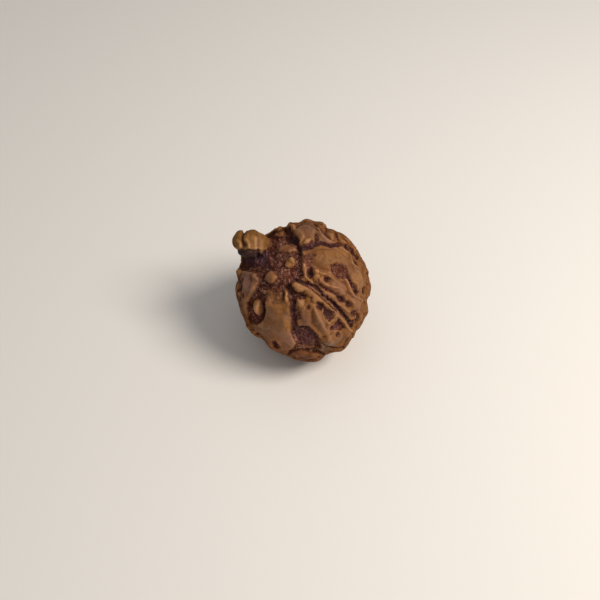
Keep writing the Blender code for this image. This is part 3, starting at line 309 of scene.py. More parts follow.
PITS = [  # outline, depth, softness, roughness
    ([(285, 237), (291, 234.6), (298, 237), (300.5, 243), (296, 244.6), (288.5, 242.8)], 4.0, 1.4, 0.6),
    ([(330, 265), (336, 263.4), (342, 263.6), (347, 266), (349.4, 271), (349.6, 277), (345, 279), (338.5, 278.5),
      (333.5, 274), (331, 269.5)], 2.0, 2.4, 1.5),
    ([(307.6, 268.6), (311.4, 267.2), (314.2, 270), (314.4, 275.6), (311.6, 279), (308, 277), (306.8, 272.4)], 3.4, 1.6, 1.2),
    ([(349, 279), (352, 281), (354.6, 286.6), (353.4, 289.6), (350.4, 286)], 2.4, 1.2, 1.0),
    ([(268, 287.6), (276, 286), (284, 287), (287, 291), (281, 293.4), (273, 292.6)], 1.0, 2.0, 1.2),
    ([(267, 290), (277, 289), (288, 291), (287.6, 299), (281, 304.5), (271, 305), (266.6, 299)], 0.7, 5.0, 0.62),
    ([(288.4, 290), (297, 291), (297.6, 300), (296.4, 309), (299, 321), (294, 322), (290.6, 312), (289.6, 301)], 1.6, 2.2, 1.3),
    ([(339.5, 318.6), (343, 322.4), (345, 327.6), (341.5, 330.6), (336, 329.6), (331, 331), (330.6, 327.4), (334, 324.6)],
     3.4, 2.0, 1.3),
    ([(324, 308), (328, 307.6), (333, 312), (334.5, 317.5), (330.5, 320.5), (326.6, 319), (324, 313.6)], 3.4, 1.8, 1.2),
    ([(291, 327), (297.6, 325), (309, 325.4), (314.6, 330), (319, 336), (321.4, 342), (321.4, 348), (313.6, 346), (305.6, 345),
      (297, 346.4), (289, 353), (290, 350), (296.6, 344.6), (296.4, 340), (293.4, 336), (290.8, 331.6)], 3.4, 3.4, 1.6),
    ([(292.5, 291), (298, 291.4), (303, 292.6), (307, 295.4), (305.6, 298.8), (300, 299.4), (295.6, 297.8), (292.6, 295)],
     2.8, 1.5, 1.3),
    ([(293, 306), (299, 307.6), (301.5, 313), (302.5, 318), (300, 321), (295, 321), (293, 314)], 1.2, 2.4, 0.9),
    ([(303, 255), (309, 253), (314, 256), (315, 262), (313, 268), (307, 268), (302, 262)], 0.3, 2.0, 0.45),
    ([(295, 344), (304, 344), (314, 344), (321, 347), (320, 352), (310, 351.5), (300, 351.5), (292, 353)], 0.6, 2.0, 0.5),
    ([(272.4, 340.6), (276.5, 340), (280, 344), (281.6, 347.4), (278.4, 349), (275, 346.4)], 2.8, 1.3, 1.4),
    ([(243, 256), (256, 254), (267, 257), (270, 262), (264, 269), (254, 268), (245, 267)], 2.0, 2.4, 1.2),
    ([(269, 238), (276, 236.6), (280, 240), (277, 246), (277, 254), (273, 260), (269, 253)], 1.6, 2.0, 1.2),
    ([(253, 295), (259, 290), (263, 293), (262, 298), (255, 299)], 1.6, 1.4, 1.0),
]
HOLES = [  # u, v, half length, half width, turn, depth
    (327.5, 278.5, 3.3, 2.6, 18, 3.4),
    (341.2, 298.6, 5.0, 3.1, 34, 4.0),
    (348.4, 303.6, 4.8, 3.2, 40, 3.8),
    (344.8, 300.8, 2.6, 2.0, 36, 2.2),
    (354.2, 313.4, 4.0, 3.6, 0, 2.4),
    (358.2, 315.0, 2.4, 2.6, 0, 2.0),
    (352.4, 321.6, 4.6, 3.4, -24, 4.2),
    (356.6, 318.6, 3.0, 2.6, -30, 2.8),
    (338.2, 334.4, 2.8, 2.4, 0, 3.4),
    (320.8, 306.6, 3.6, 3.0, 40, 3.8),
    (363.5, 290.0, 3.0, 4.2, 25, 3.4),
    (354.4, 288.6, 2.4, 4.4, -25, 3.2),
    (355.6, 262.0, 2.4, 4.4, -30, 3.4),
    (317.6, 238.4, 2.6, 5.0, 0, 3.2),
    (244.2, 295.2, 2.4, 3.4, 0, 3.0),
    (314.2, 255.0, 2.2, 1.8, 0, 1.6),
    (309.2, 308.0, 1.9, 2.8, 10, 2.4),
    (289.6, 287.2, 3.6, 3.4, 0, 3.0),
    (353.0, 286.0, 1.6, 3.0, -10, 2.0),
    (357.0, 326.5, 2.6, 3.6, 0, 2.6),
]
OUTLINE = [
    (264, 236), (270, 233), (275, 229), (281, 226.5), (285, 228), (287, 227), (288, 223), (290, 222), (292, 223.5),
    (299, 223), (305, 219.5), (308, 219.5), (311, 220.5), (314, 222), (320, 222), (324, 223), (326, 226), (327, 229),
    (333, 230), (336, 232), (341, 233.5), (346, 237), (350, 241), (354, 246), (357, 250), (359, 254), (362, 260),
    (365, 264), (366, 268), (368, 271), (368, 276), (369, 281), (370.5, 286), (370, 291), (369, 296), (366, 300),
    (367, 305), (368, 310), (367, 314), (364, 318), (362, 323), (359, 328), (356, 330), (355, 332), (354, 336),
    (350, 340), (348, 344), (345, 348), (341, 351), (336, 351.5), (330, 352.5), (326, 354), (322, 358), (318, 361),
    (312, 361.5), (305, 361), (298, 359.5), (292, 358), (288, 355.5), (284, 354), (279, 352), (274, 350), (270, 348),
    (267, 344), (265, 341), (262, 338), (257, 336.5), (253, 334), (250, 330), (247, 327), (246, 322), (244, 317),
    (241, 312), (240, 307), (239, 303), (237, 297), (236, 290), (236.5, 284), (239, 280), (237, 276), (236.5, 272),
    (238, 269), (240.6, 265), (241.6, 260), (241, 256.6), (243, 252.6),
]
STALK = direction(285, 270)[0]


def sphere_points(n, seed):
    """Evenly spread directions, jittered."""
    rng = np.random.RandomState(seed)
    i = np.arange(n) + 0.5
    z = 1 - 2 * i / n
    a = i * math.pi * (3 - math.sqrt(5))
    s = np.sqrt(1 - z * z)
    p = np.stack((s * np.cos(a), s * np.sin(a), z), axis=1)
    p += rng.normal(0, 0.9 / math.sqrt(n), p.shape)
    return p / np.linalg.norm(p, axis=1)[:, None], rng


def seams():
    """Five lines that run from the stalk end to the far end."""
    e1 = np.cross(STALK, (0.0, 0.0, 1.0))
    e1 /= np.linalg.norm(e1)
    e2 = np.cross(STALK, e1)
    out = []
    for heading in (45, -27, 108, 186, 258):
        a = math.radians(heading)
        target = np.array((math.cos(a), -math.sin(a), 0.0))
        t = target - STALK * (target @ STALK)
        t /= np.linalg.norm(t)
        s = np.linspace(0.2, math.pi - 0.12, 60)
        out.append((STALK[None] * np.cos(s)[:, None] + t[None] * np.sin(s)[:, None], t))
    return out


def strands(q):
    """Loose woody fibres: thin crests, drawn out along three headings and bent by a slow swirl. 0 to 1."""
    bend = np.stack([noise(q / 12.0, 41 + i) for i in range(3)], axis=1) * 5.0
    out = np.zeros(len(q))
    for i, (x, y, z) in enumerate(((1.0, 0.3, 0.1), (-0.4, 1.0, 0.3), (0.5, -0.7, 0.8))):
        a = np.array((x, y, z)) / math.sqrt(x * x + y * y + z * z)
        w = q + bend * (1 if i != 1 else -1)
        along = (w @ a)[:, None] * a
        n = noise((w - along) / 2.1 + along / 9.0, 44 + i)
        out = np.maximum(out, (1 - np.minimum(np.abs(n) * 2.2, 1)) ** 2 * (0.65 + 0.35 * noise(q / 5.0, 47 + i)))
    return out


def relief(d):
    """Height over the smooth body, and what the surface is made of there."""
    p, th = flat(d)
    n = len(d)
    q = d * BODY_R
    ps = p + 0.9 * np.stack((noise(q / 9.0, 11), noise(q / 9.0, 12)), axis=1)
    ps = ps + 0.55 * np.stack((noise(q / 4.4, 51), noise(q / 4.4, 52)), axis=1)
    vary = 1 + 0.55 * noise(q / 5.5, 53)
    # pits and cuts have ragged edges
    pr = ps + 0.75 * np.stack((noise(q / 3.6, 13), noise(q / 3.6, 14)), axis=1)
    pr = pr + 0.4 * np.stack((noise(q / 1.9, 15), noise(q / 1.9, 16)), axis=1)
    pn = ps + 0.9 * np.stack((noise(q / 5.0, 17), noise(q / 5.0, 18)), axis=1)
    pn = pn + 0.35 * np.stack((noise(q / 2.4, 19), noise(q / 2.4, 20)), axis=1)
    front = smooth(-th, -math.radians(97), -math.radians(84))
    h = np.zeros(n)
    low = np.zeros(n)
    rough = np.zeros(n)
    for pts, depth, soft in HOLLOW:
        s = inside_distance(ps, sheet(pts))
        m = smooth(s, -soft * 0.4, soft)
        h -= depth * m
        low = np.maximum(low, m)
    bumps = np.zeros(n)
    tint = np.zeros(n)
    skin = np.zeros(n)
    for u, v, a, b, turn, height, square, hue in BUMPS:
        big = min(a, b) > 7.4
        soft = height < 2.35 and min(a, b) > 3.0
        r = oval(ps if big or soft else pn, u, v, a, b, turn)
        r = r / 1.14 if soft else r
        m = np.maximum(0, 1 - r ** square)
        if soft:
            m = m ** 1.6
        elif square > 2.3:
            m = m ** (0.8 if big else 0.6)
        height = height * (1.3 if big else 1.0)
        bumps = np.maximum(bumps, height * m) + 0.35 * np.minimum(bumps, height * m)
        own = smooth(-r, -1.06, -0.8)
        tint = tint * (1 - own) + hue * own
        skin = np.maximum(skin, own * smooth(height, 1.5, 3.5))
    h += bumps
    for pts, w, height in RIDGES:
        s = line_distance(ps, curve(sheet(pts)))
        h += height * vary * np.exp(-((s / w) ** 2))
        tint = np.maximum(tint, 0.45 * np.exp(-((s / (w * 0.8)) ** 2)) * (height > 1.0))
    cut = np.zeros(n)
    for pts, w, depth, share in GROOVES:
        s = line_distance(pr, curve(sheet(pts)))
        s = s / (0.75 + 0.35 * vary)
        g = depth * ((1 - share) * np.exp(-((s / w) ** 2)) + share * np.exp(-((s / (3 * w)) ** 2)))
        cut = np.maximum(cut, g) + 0.25 * np.minimum(cut, g)
        rough = np.maximum(rough, 0.9 * smooth(g, 0.8, 2.6))
    for pts, depth, soft, r in PITS:
        s = inside_distance(pr, sheet(pts))
        m = smooth(s, -soft * 0.6, soft)
        lip = 0.3 * np.exp(-(((s + 1.8) / 1.4) ** 2))
        cut = np.maximum(cut, depth * m)
        h += lip
        rough = np.maximum(rough, r * smooth(s, -0.5, 2.0))
        skin = skin * (1 - m)
    for u, v, a, b, turn, depth in HOLES:
        r = oval(pr, u, v, a, b, turn)
        m = np.exp(-(r ** 2.6) * 0.9)
        lip = 0.3 * np.exp(-(((r - 1.5) * min(a, b) / 1.3) ** 2))
        cut = np.maximum(cut, depth * m)
        h += lip
        rough = np.maximum(rough, 0.9 * m)
        skin = skin * (1 - m)
    # creases run on round the sides
    band = smooth(th, math.radians(56), math.radians(76))
    w = q / 12.0 + 0.35 * np.stack([noise(q / 6.0, 71 + i) for i in range(3)], axis=1)
    crease = 3.0 * band * (1 - smooth(np.abs(noise(w, 74)), 0.0, 0.13)) * smooth(noise(q / 16.0, 75), -0.45, -0.05)
    cut = np.maximum(cut, crease)
    rough = np.maximum(rough, 0.8 * smooth(crease, 1.0, 2.6))
    h += 1.1 * band * noise(q / 7.0, 76)
    h -= cut
    h *= front
    rough *= front
    low *= front * (1 - skin)
    cut *= front
    tint *= front

    # the far side: lobes of the same kind, pits and the seams
    pts, rng = sphere_points(250, 5)
    size = rng.uniform(5.0, 10.5, len(pts))
    tall = rng.uniform(3.0, 5.2, len(pts))
    stretch = rng.uniform(1.0, 1.9, len(pts))
    head = rng.uniform(0, math.pi, len(pts))
    _, tp = flat(pts)
    back = np.full(n, 0.0)
    far = np.where(front < 0.999)[0]
    df = d[far]
    qf = df * BODY_R
    wf = np.stack([noise(qf / 8.0, 21 + i) for i in range(3)], axis=1) * 1.5
    dq = qf + wf
    best = np.zeros(len(far))
    for c, sz, hh, st, hd, t in zip(pts, size, tall, stretch, head, tp):
        if t < math.radians(84):
            continue
        e = np.cross(c, (0.3, 0.5, 0.8))
        e /= np.linalg.norm(e)
        f = np.cross(c, e)
        e, f = e * math.cos(hd) + f * math.sin(hd), f * math.cos(hd) - e * math.sin(hd)
        o = dq - c * BODY_R
        r = np.sqrt((o @ e / (sz * st)) ** 2 + (o @ f / sz) ** 2 + (o @ c / (sz * 1.3)) ** 2)
        m = hh * np.maximum(0, 1 - r ** 2.6) ** 0.6
        best = np.maximum(best, m) + 0.3 * np.minimum(best, m)
    bh = best - 4.4
    holes, rng = sphere_points(90, 9)
    _, tq = flat(holes)
    deep = np.zeros(len(far))
    for c, t in zip(holes, tq):
        w, dep, tw = rng.uniform(2.0, 3.6), rng.uniform(1.6, 3.6), rng.uniform(0, math.pi)
        if t < math.radians(90):
            continue
        e = np.cross(c, (0.3, 0.5, 0.8))
        e /= np.linalg.norm(e)
        f = np.cross(c, e)
        e, f = e * math.cos(tw) + f * math.sin(tw), f * math.cos(tw) - e * math.sin(tw)
        o = dq - c * BODY_R
        r = np.sqrt((o @ e / (w * 1.6)) ** 2 + (o @ f / w) ** 2 + (o @ c / 6) ** 2)
        deep = np.maximum(deep, dep * np.exp(-(r ** 2.4)))
    for line, t in seams():
        # distance to the seam's plane, on its own side
        nrm = np.cross(STALK, t)
        side = df @ t
        s = np.abs(dq @ nrm) + np.where(side < 0, 50.0, 0.0) + 12 * smooth(-(df @ -STALK), -1.0, -0.985)
        deep = np.maximum(deep, 4.2 * np.exp(-((s / 1.5) ** 2)))
        bh += 1.3 * np.exp(-(((s - 3.2) / 1.3) ** 2))
    bh -= deep
    h[far] = h[far] + (1 - front[far]) * bh
    cut[far] = np.maximum(cut[far], (1 - front[far]) * deep)
    lowf = (1 - front[far]) * smooth(-best, -1.6, -0.2)
    low[far] = np.maximum(low[far], lowf)
    rough[far] = np.maximum(rough[far], lowf * 0.9)

    # fine texture: gentle swells on the lobes, a mat of fibres in the hollows
    h += 0.9 * noise(q / 13.0, 3) + 0.5 * noise(q / 6.0, 4) + 0.2 * noise(q / 3.0, 5)
    h += 0.22 * (1 - 2.2 * np.abs(noise(q / 8.0 + 0.3 * noise(q / 4.0, 10)[:, None], 9))) * (1 - low)
    mat = strands(q)
    grit = np.clip(np.maximum(rough, 0.8 * low), 0, 1.3)
    h += FIBRE_RELIEF * grit * (1.7 * mat - 0.8 + 0.9 * noise(q / 2.6, 8))
    return h, low, cut, rough, tint, grit * mat


# the outgrowth: u, v on the drawing, depth toward the viewer, radius
STUB = [(264.2, 251.4, 18, 13.2), (260.6, 248.6, 25, 12.0), (256.4, 245.2, 30, 12.6), (250.4, 242.9, 31.5, 13.0),
        (246.6, 242.0, 31, 12.2), (242.6, 240.2, 29.5, 10.4)]


def place(u, v, z):
    k = (VIEW_DIST - z) / VIEW_DIST
    return np.array(((u - SHEET[0]) * k, (SHEET[1] - v) * k, z))


def stub_axis():
    pts = np.array([place(u, v, z) for u, v, z, r in STUB])
    rad = np.array([r for u, v, z, r in STUB])
    fine = curve(np.hstack((pts, rad[:, None])), 12)
    return fine[:, :3], fine[:, 3]


def rim(p):
    """Outline radius by heading on the drawing, p in body coordinates."""
    k = VIEW_DIST / (VIEW_DIST - p[:, 2])
    x, y = p[:, 0] * k, p[:, 1] * k
    return np.degrees(np.arctan2(y, x)) % 360, np.hypot(x, y)


def smooth_ring(a, sigma):
    n = len(a)
    x = np.arange(n)
    w = np.exp(-0.5 * (np.minimum(x, n - x) / sigma) ** 2)
    w /= w.sum()
    return np.real(np.fft.ifft(np.fft.fft(a) * np.fft.fft(w)))


def outline_target(bins=360):
    o = np.array(OUTLINE, float)
    x, y = o[:, 0] - SHEET[0], SHEET[1] - o[:, 1]
    a, r = np.degrees(np.arctan2(y, x)) % 360, np.hypot(x, y) + 0.8
    k = np.argsort(a)
    a, r = a[k], r[k]
    return np.interp(np.arange(bins) * 360 / bins, np.concatenate((a - 360, a, a + 360)), np.concatenate((r, r, r)))


def body(d):
    h, low, cut, rough, tint, mat = relief(d)
    rad = BODY_R - 1.9 + h
    th = np.arctan2(np.hypot(d[:, 0], d[:, 1]), d[:, 2])
    head = np.degrees(np.arctan2(d[:, 1], d[:, 0])) % 360
    target = outline_target()
    wide = smooth(th, math.radians(15), math.radians(80)) * (1 - smooth(th, math.radians(95), math.radians(165)))
    near = np.exp(-(((th - math.radians(85.4)) / math.radians(13)) ** 2))
    for step in range(3):
        p = d * rad[:, None]
        a, r = rim(p)
        have = np.zeros(360)
        np.maximum.at(have, (a + 0.5).astype(int) % 360, r)
        have = np.where(have < 40, np.nan, have)
        ok = ~np.isnan(have)
        have = np.interp(np.arange(360), np.arange(360)[ok], have[ok])
        miss = target - have
        slow = smooth_ring(miss, 14)
        fast = smooth_ring(miss - slow, 1.2)
        grid = np.arange(-1, 362)
        rad = rad + np.interp(head, grid, slow[grid % 360]) * wide + np.interp(head, grid, fast[grid % 360]) * near
    return rad, h, low, cut, rough, tint, mat


def find_level():
    """Works out the skin's radius over the sheet, so that each mark falls where the drawing has it."""
    i = np.arange(-SPAN, SPAN + 1) * STEP
    x, y = np.meshgrid(i, i)
    x, y = x.ravel(), y.ravel()
    s = np.maximum(np.hypot(x, y), 1e-9)
    th = s / BODY_R
    d = np.stack((x / s * np.sin(th), y / s * np.sin(th), np.cos(th)), axis=1)
    w = np.exp(-0.5 * (np.arange(-5, 6) / 1.5) ** 2)
    w /= w.sum()
    for turn in range(3):
        a = body(d)[0].reshape(2 * SPAN + 1, 2 * SPAN + 1)
        for axis in (0, 1):
            pad = np.pad(a, [(5, 5) if k == axis else (0, 0) for k in (0, 1)], mode="edge")
            a = sum(w[k] * (pad[k:k + a.shape[0]] if axis == 0 else pad[:, k:k + a.shape[1]]) for k in range(11))
        LEVEL[:] = [a]


def warp(d, axis, near_, far_):
    """Draws directions in toward the axis, so that more points fall near it."""
    c = np.clip(d @ axis, -1, 1)
    a = np.arccos(c)
    e = d - axis * c[:, None]
    e /= np.maximum(np.linalg.norm(e, axis=1), 1e-9)[:, None]
    t = np.clip(a / far_, 0, 1)
    # slope near_ at the axis, 1 at far_
    b = far_ * (near_ * t + (1 - near_) * t ** 3 * (2.5 - 1.5 * t)) if near_ < 1 else a
    b = np.where(a < far_, b, a)
    return axis * np.cos(b)[:, None] + e * np.sin(b)[:, None]


def gather(d):
    """Draws directions toward the side that faces the drawing."""
    a = np.arccos(np.clip(d[:, 2], -1, 1)) / math.pi
    b = math.pi * (0.66 * a + 0.34 * a ** 3)
    s = np.maximum(np.hypot(d[:, 0], d[:, 1]), 1e-9)
    return np.stack((d[:, 0] / s * np.sin(b), d[:, 1] / s * np.sin(b), np.cos(b)), axis=1)


def build(d0):
    find_level()
    ax, rr = stub_axis()
    foot = ax[0] / np.linalg.norm(ax[0])
    d = warp(gather(d0), foot, 0.33, math.radians(70))
    rad, h, low, cut, rough, tint, mat = body(d)
    ang = np.arccos(np.clip(d @ foot, -1, 1))
    arc = ang * BODY_R
    fr = STUB_FOOT_R
    # flare of the skin round the foot
    rad = rad + 1.0 * np.exp(-((np.maximum(arc - fr, 0) / 2.6) ** 2)) * (arc >= fr)
    p = d * rad[:, None]
    inside = np.where(arc < fr)[0]
    t = 1 - arc[inside] / fr
    di = d[inside]
    e = di - foot * (di @ foot)[:, None]
    e /= np.maximum(np.linalg.norm(e, axis=1), 1e-9)[:, None]
    # distance run along the stub and over its end, by even steps of surface
    seg = np.concatenate(([0], np.cumsum(np.linalg.norm(np.diff(ax, axis=0), axis=1))))
    length = seg[-1]
    endr = rr[-1]
    total = length + endr * 1.35
    s = total * (1 - (1 - t) ** 0.8)
    along = np.minimum(s, length)
    c = np.stack([np.interp(along, seg, ax[:, i]) for i in range(3)], axis=1)
    tang = np.gradient(ax, axis=0)
    tang /= np.linalg.norm(tang, axis=1)[:, None]
    tg = np.stack([np.interp(along, seg, tang[:, i]) for i in range(3)], axis=1)
    tg /= np.linalg.norm(tg, axis=1)[:, None]
    r = np.interp(along, seg, rr)
    over = np.clip((s - length) / (endr * 1.35), 0, 1) * math.pi / 2
    side = e - tg * np.einsum("ij,ij->i", e, tg)[:, None]
    side /= np.maximum(np.linalg.norm(side, axis=1), 1e-9)[:, None]
    q = c + side * (r * np.cos(over) ** 0.8)[:, None] + tg * (endr * 0.86 * np.sin(over))[:, None]
    # relief on the stub, read from its own place
    n1 = noise(q / 8.0, 31)
    n2 = noise(q / 4.0, 32)
    n3 = noise(q / 2.0, 33)
    out = side * np.cos(over)[:, None] + tg * np.sin(over)[:, None]
    k = VIEW_DIST / (VIEW_DIST - q[:, 2])
    u = SHEET[0] + q[:, 0] * k
    v = SHEET[1] - q[:, 1] * k
    uv = np.stack((u, v), axis=1)
    seen = smooth(out[:, 2], 0.0, 0.45)
    bend = np.array([(244.8, 229), (243.8, 232), (242.4, 235), (241.9, 239), (242.3, 243), (242.8, 248)])
    fold = np.exp(-((line_distance(uv, curve(bend)) / 1.0) ** 2)) * smooth(out[:, 2] + 0.8 * out[:, 1], -0.1, 0.4)
    notch = np.exp(-(((u - 244.8) / 1.5) ** 2)) * smooth(out[:, 1], 0.3, 0.8)
    fold2 = np.exp(-(((u - 243.8) / 1.8) ** 2)) * smooth(-out[:, 2] - 0.8 * out[:, 1], -0.1, 0.5) * 0.5
    dent = np.exp(-(((u - 244.8) / 1.5) ** 2) - ((v - 244.8) / 2.6) ** 2) * seen
    lip = np.exp(-((line_distance(uv, curve(np.array([(245.6, 239.8), (247.6, 241.8), (248.8, 244.2), (249.2, 247)]))) / 0.85) ** 2)) * seen
    wart = np.exp(-((line_distance(uv, curve(np.array([(237.6, 240.4), (239.4, 242.4), (240.2, 244.6), (240.4, 246.6)]))) / 1.1) ** 2)) * seen
    rib = np.exp(-(((u - 255.8) / 0.9) ** 2)) * smooth(v, 235, 239) * seen
    rib2 = np.exp(-(((u - 261.0) / 1.2) ** 2)) * smooth(v, 237, 241) * seen
    dip = np.exp(-(((u - 258.3) / 1.1) ** 2)) * smooth(v, 235, 239) * seen
    ledge = 249.0 + 0.09 * np.maximum(u - 256, 0) + 1.3 * noise(q / 5.0, 34) + 0.5 * noise(q / 2.5, 35)
    edge = np.exp(-(((v - ledge + 0.9) / 1.0) ** 2)) * seen
    # painted shade: the outgrowth's underside below its ledge, on the side facing the camera, is painted near black
    under = smooth(v - ledge, -0.2, 1.4) * smooth(out[:, 2], -0.7, -0.1) * (1 - 0.75 * smooth(u, 258, 262) * smooth(-v, -254, -251))
    bump = 0.9 * n1 + 0.6 * n2 + 0.3 * n3 - 3.2 * fold - 1.6 * notch - 1.5 * fold2 - 2.2 * dent + 1.8 * lip + 0.8 * wart
    bump = bump + 1.5 * rib + 1.1 * rib2 - 1.4 * dip + 0.5 * edge - 1.2 * under * (1 - smooth(v - ledge, 1.4, 3.0))
    bump = bump + 2.6 * smooth(v - ledge, 0.8, 3.0) * smooth(out[:, 2], -0.9, -0.3) * smooth(-u, -258, -246)
    q = q + out * bump[:, None]
    # join to the skin's ring at the foot
    ring_d = foot * math.cos(fr / BODY_R) + e * math.sin(fr / BODY_R)
    heads = np.arctan2(e @ np.cross(foot, (0, 0, 1.0)), e @ np.cross(np.cross(foot, (0, 0, 1.0)), foot))
    near = np.where((arc >= fr) & (arc < fr + 2.2))[0]
    dn = d[near]
    en = dn - foot * (dn @ foot)[:, None]
    en /= np.linalg.norm(en, axis=1)[:, None]
    hn = np.arctan2(en @ np.cross(foot, (0, 0, 1.0)), en @ np.cross(np.cross(foot, (0, 0, 1.0)), foot))
    order = np.argsort(hn)
    hh, rn = hn[order], rad[near][order]
    w = 9
    rn = np.convolve(np.concatenate((rn[-w:], rn, rn[:w])), np.ones(2 * w + 1) / (2 * w + 1), "valid")
    ring_r = np.interp(heads, np.concatenate((hh - 2 * math.pi, hh, hh + 2 * math.pi)), np.concatenate((rn, rn, rn)))
    ring = ring_d * ring_r[:, None]
    m = smooth(s / total, 0.0, 0.36)[:, None]
    lift = (s * 0.6)[:, None] * foot
    p[inside] = (ring + lift * (1 - m) - e * (s * 0.15)[:, None]) * (1 - m) + q * m
    stub = np.zeros(len(d))
    stub[inside] = smooth(s / total, 0.025, 0.245)
    # painted shade in the outgrowth's crease, dent and dip
    shade = np.zeros(len(d))
    shade[inside] = np.clip(fold + 0.9 * dent + 0.35 * dip, 0, 1)
    # painted highlights along the outgrowth's lip, ribs, wart and ledge edge, on the side facing the camera
    crest = np.zeros(len(d))
    crest[inside] = np.clip(lip + rib + 0.5 * rib2 + 0.8 * wart + 0.3 * edge, 0, 1)
    dark = np.zeros(len(d))
    dark[inside] = under
    # painted shadow: the crook below the outgrowth, where its shadow falls, gets a shadow colour
    k = VIEW_DIST / (VIEW_DIST - p[:, 2])
    u, v = SHEET[0] + p[:, 0] * k, SHEET[1] - p[:, 1] * k
    lee = smooth(u, 236, 240) * smooth(-u, -271, -262) * smooth(v, 249.5, 252) * smooth(-v, -270, -257) * smooth(p[:, 2], -20, 0)
    # the skin is worn even round the flat spot
    reach = p @ DOWN
    off = np.linalg.norm(p - DOWN * reach[:, None], axis=1)
    w = (1 - smooth(off, FLAT_R, FLAT_R + 13)) * (reach > 0)
    goal = FLAT_AT + 2.4 - 2.4 * (off / FLAT_R) ** 2
    p = p + DOWN * ((goal - reach) * w * 0.9)[:, None]
    return p, {"low": low, "cut": cut, "rough": rough, "stub": stub, "fold": shade, "tint": tint, "mat": mat, "under": dark,
               "crest": crest, "lee": lee}


def cube_sphere(n):
    """A ball of six n by n grids: directions and faces."""
    g = np.tan(np.linspace(-math.pi / 4, math.pi / 4, n + 1))
    a, b = np.meshgrid(g, g, indexing="ij")
    a, b = a.ravel(), b.ravel()
    o = np.ones_like(a)
    sides = [(o, a, b), (-o, b, a), (b, o, a), (a, -o, b), (a, b, o), (b, a, -o)]
    pts = np.concatenate([np.stack(s, axis=1) for s in sides])
    pts /= np.linalg.norm(pts, axis=1)[:, None]
    i, j = np.meshgrid(np.arange(n), np.arange(n), indexing="ij")
    k = (i * (n + 1) + j).ravel()
    quad = np.stack((k, k + n + 1, k + n + 2, k + 1), axis=1)
    faces = np.concatenate([quad + s * (n + 1) ** 2 for s in range(6)])
    key = np.round(pts * 1e6).astype(np.int64)
    _, first, inv = np.unique(key, axis=0, return_index=True, return_inverse=True)
    inv = inv.ravel()
    return pts[first], inv[faces]


def relax(p, faces, times, share):
    """Evens out the stepping on steep walls."""
    a = np.concatenate([faces[:, i] for i in range(4)])
    b = np.concatenate([faces[:, (i + 1) % 4] for i in range(4)])
    deg = np.bincount(a, minlength=len(p))
    for _ in range(times):
        mean = np.stack([np.bincount(a, weights=p[b, i], minlength=len(p)) for i in range(3)], axis=1) / deg[:, None]
        p = p + share * (mean - p)
    return p


def blur(a, faces, times):
    """A value spread over its neighbours."""
    i = np.concatenate([faces[:, k] for k in range(4)])
    j = np.concatenate([faces[:, (k + 1) % 4] for k in range(4)])
    deg = np.bincount(i, minlength=len(a))
    for _ in range(times):
        a = 0.4 * a + 0.6 * np.bincount(i, weights=a[j], minlength=len(a)) / deg
    return a


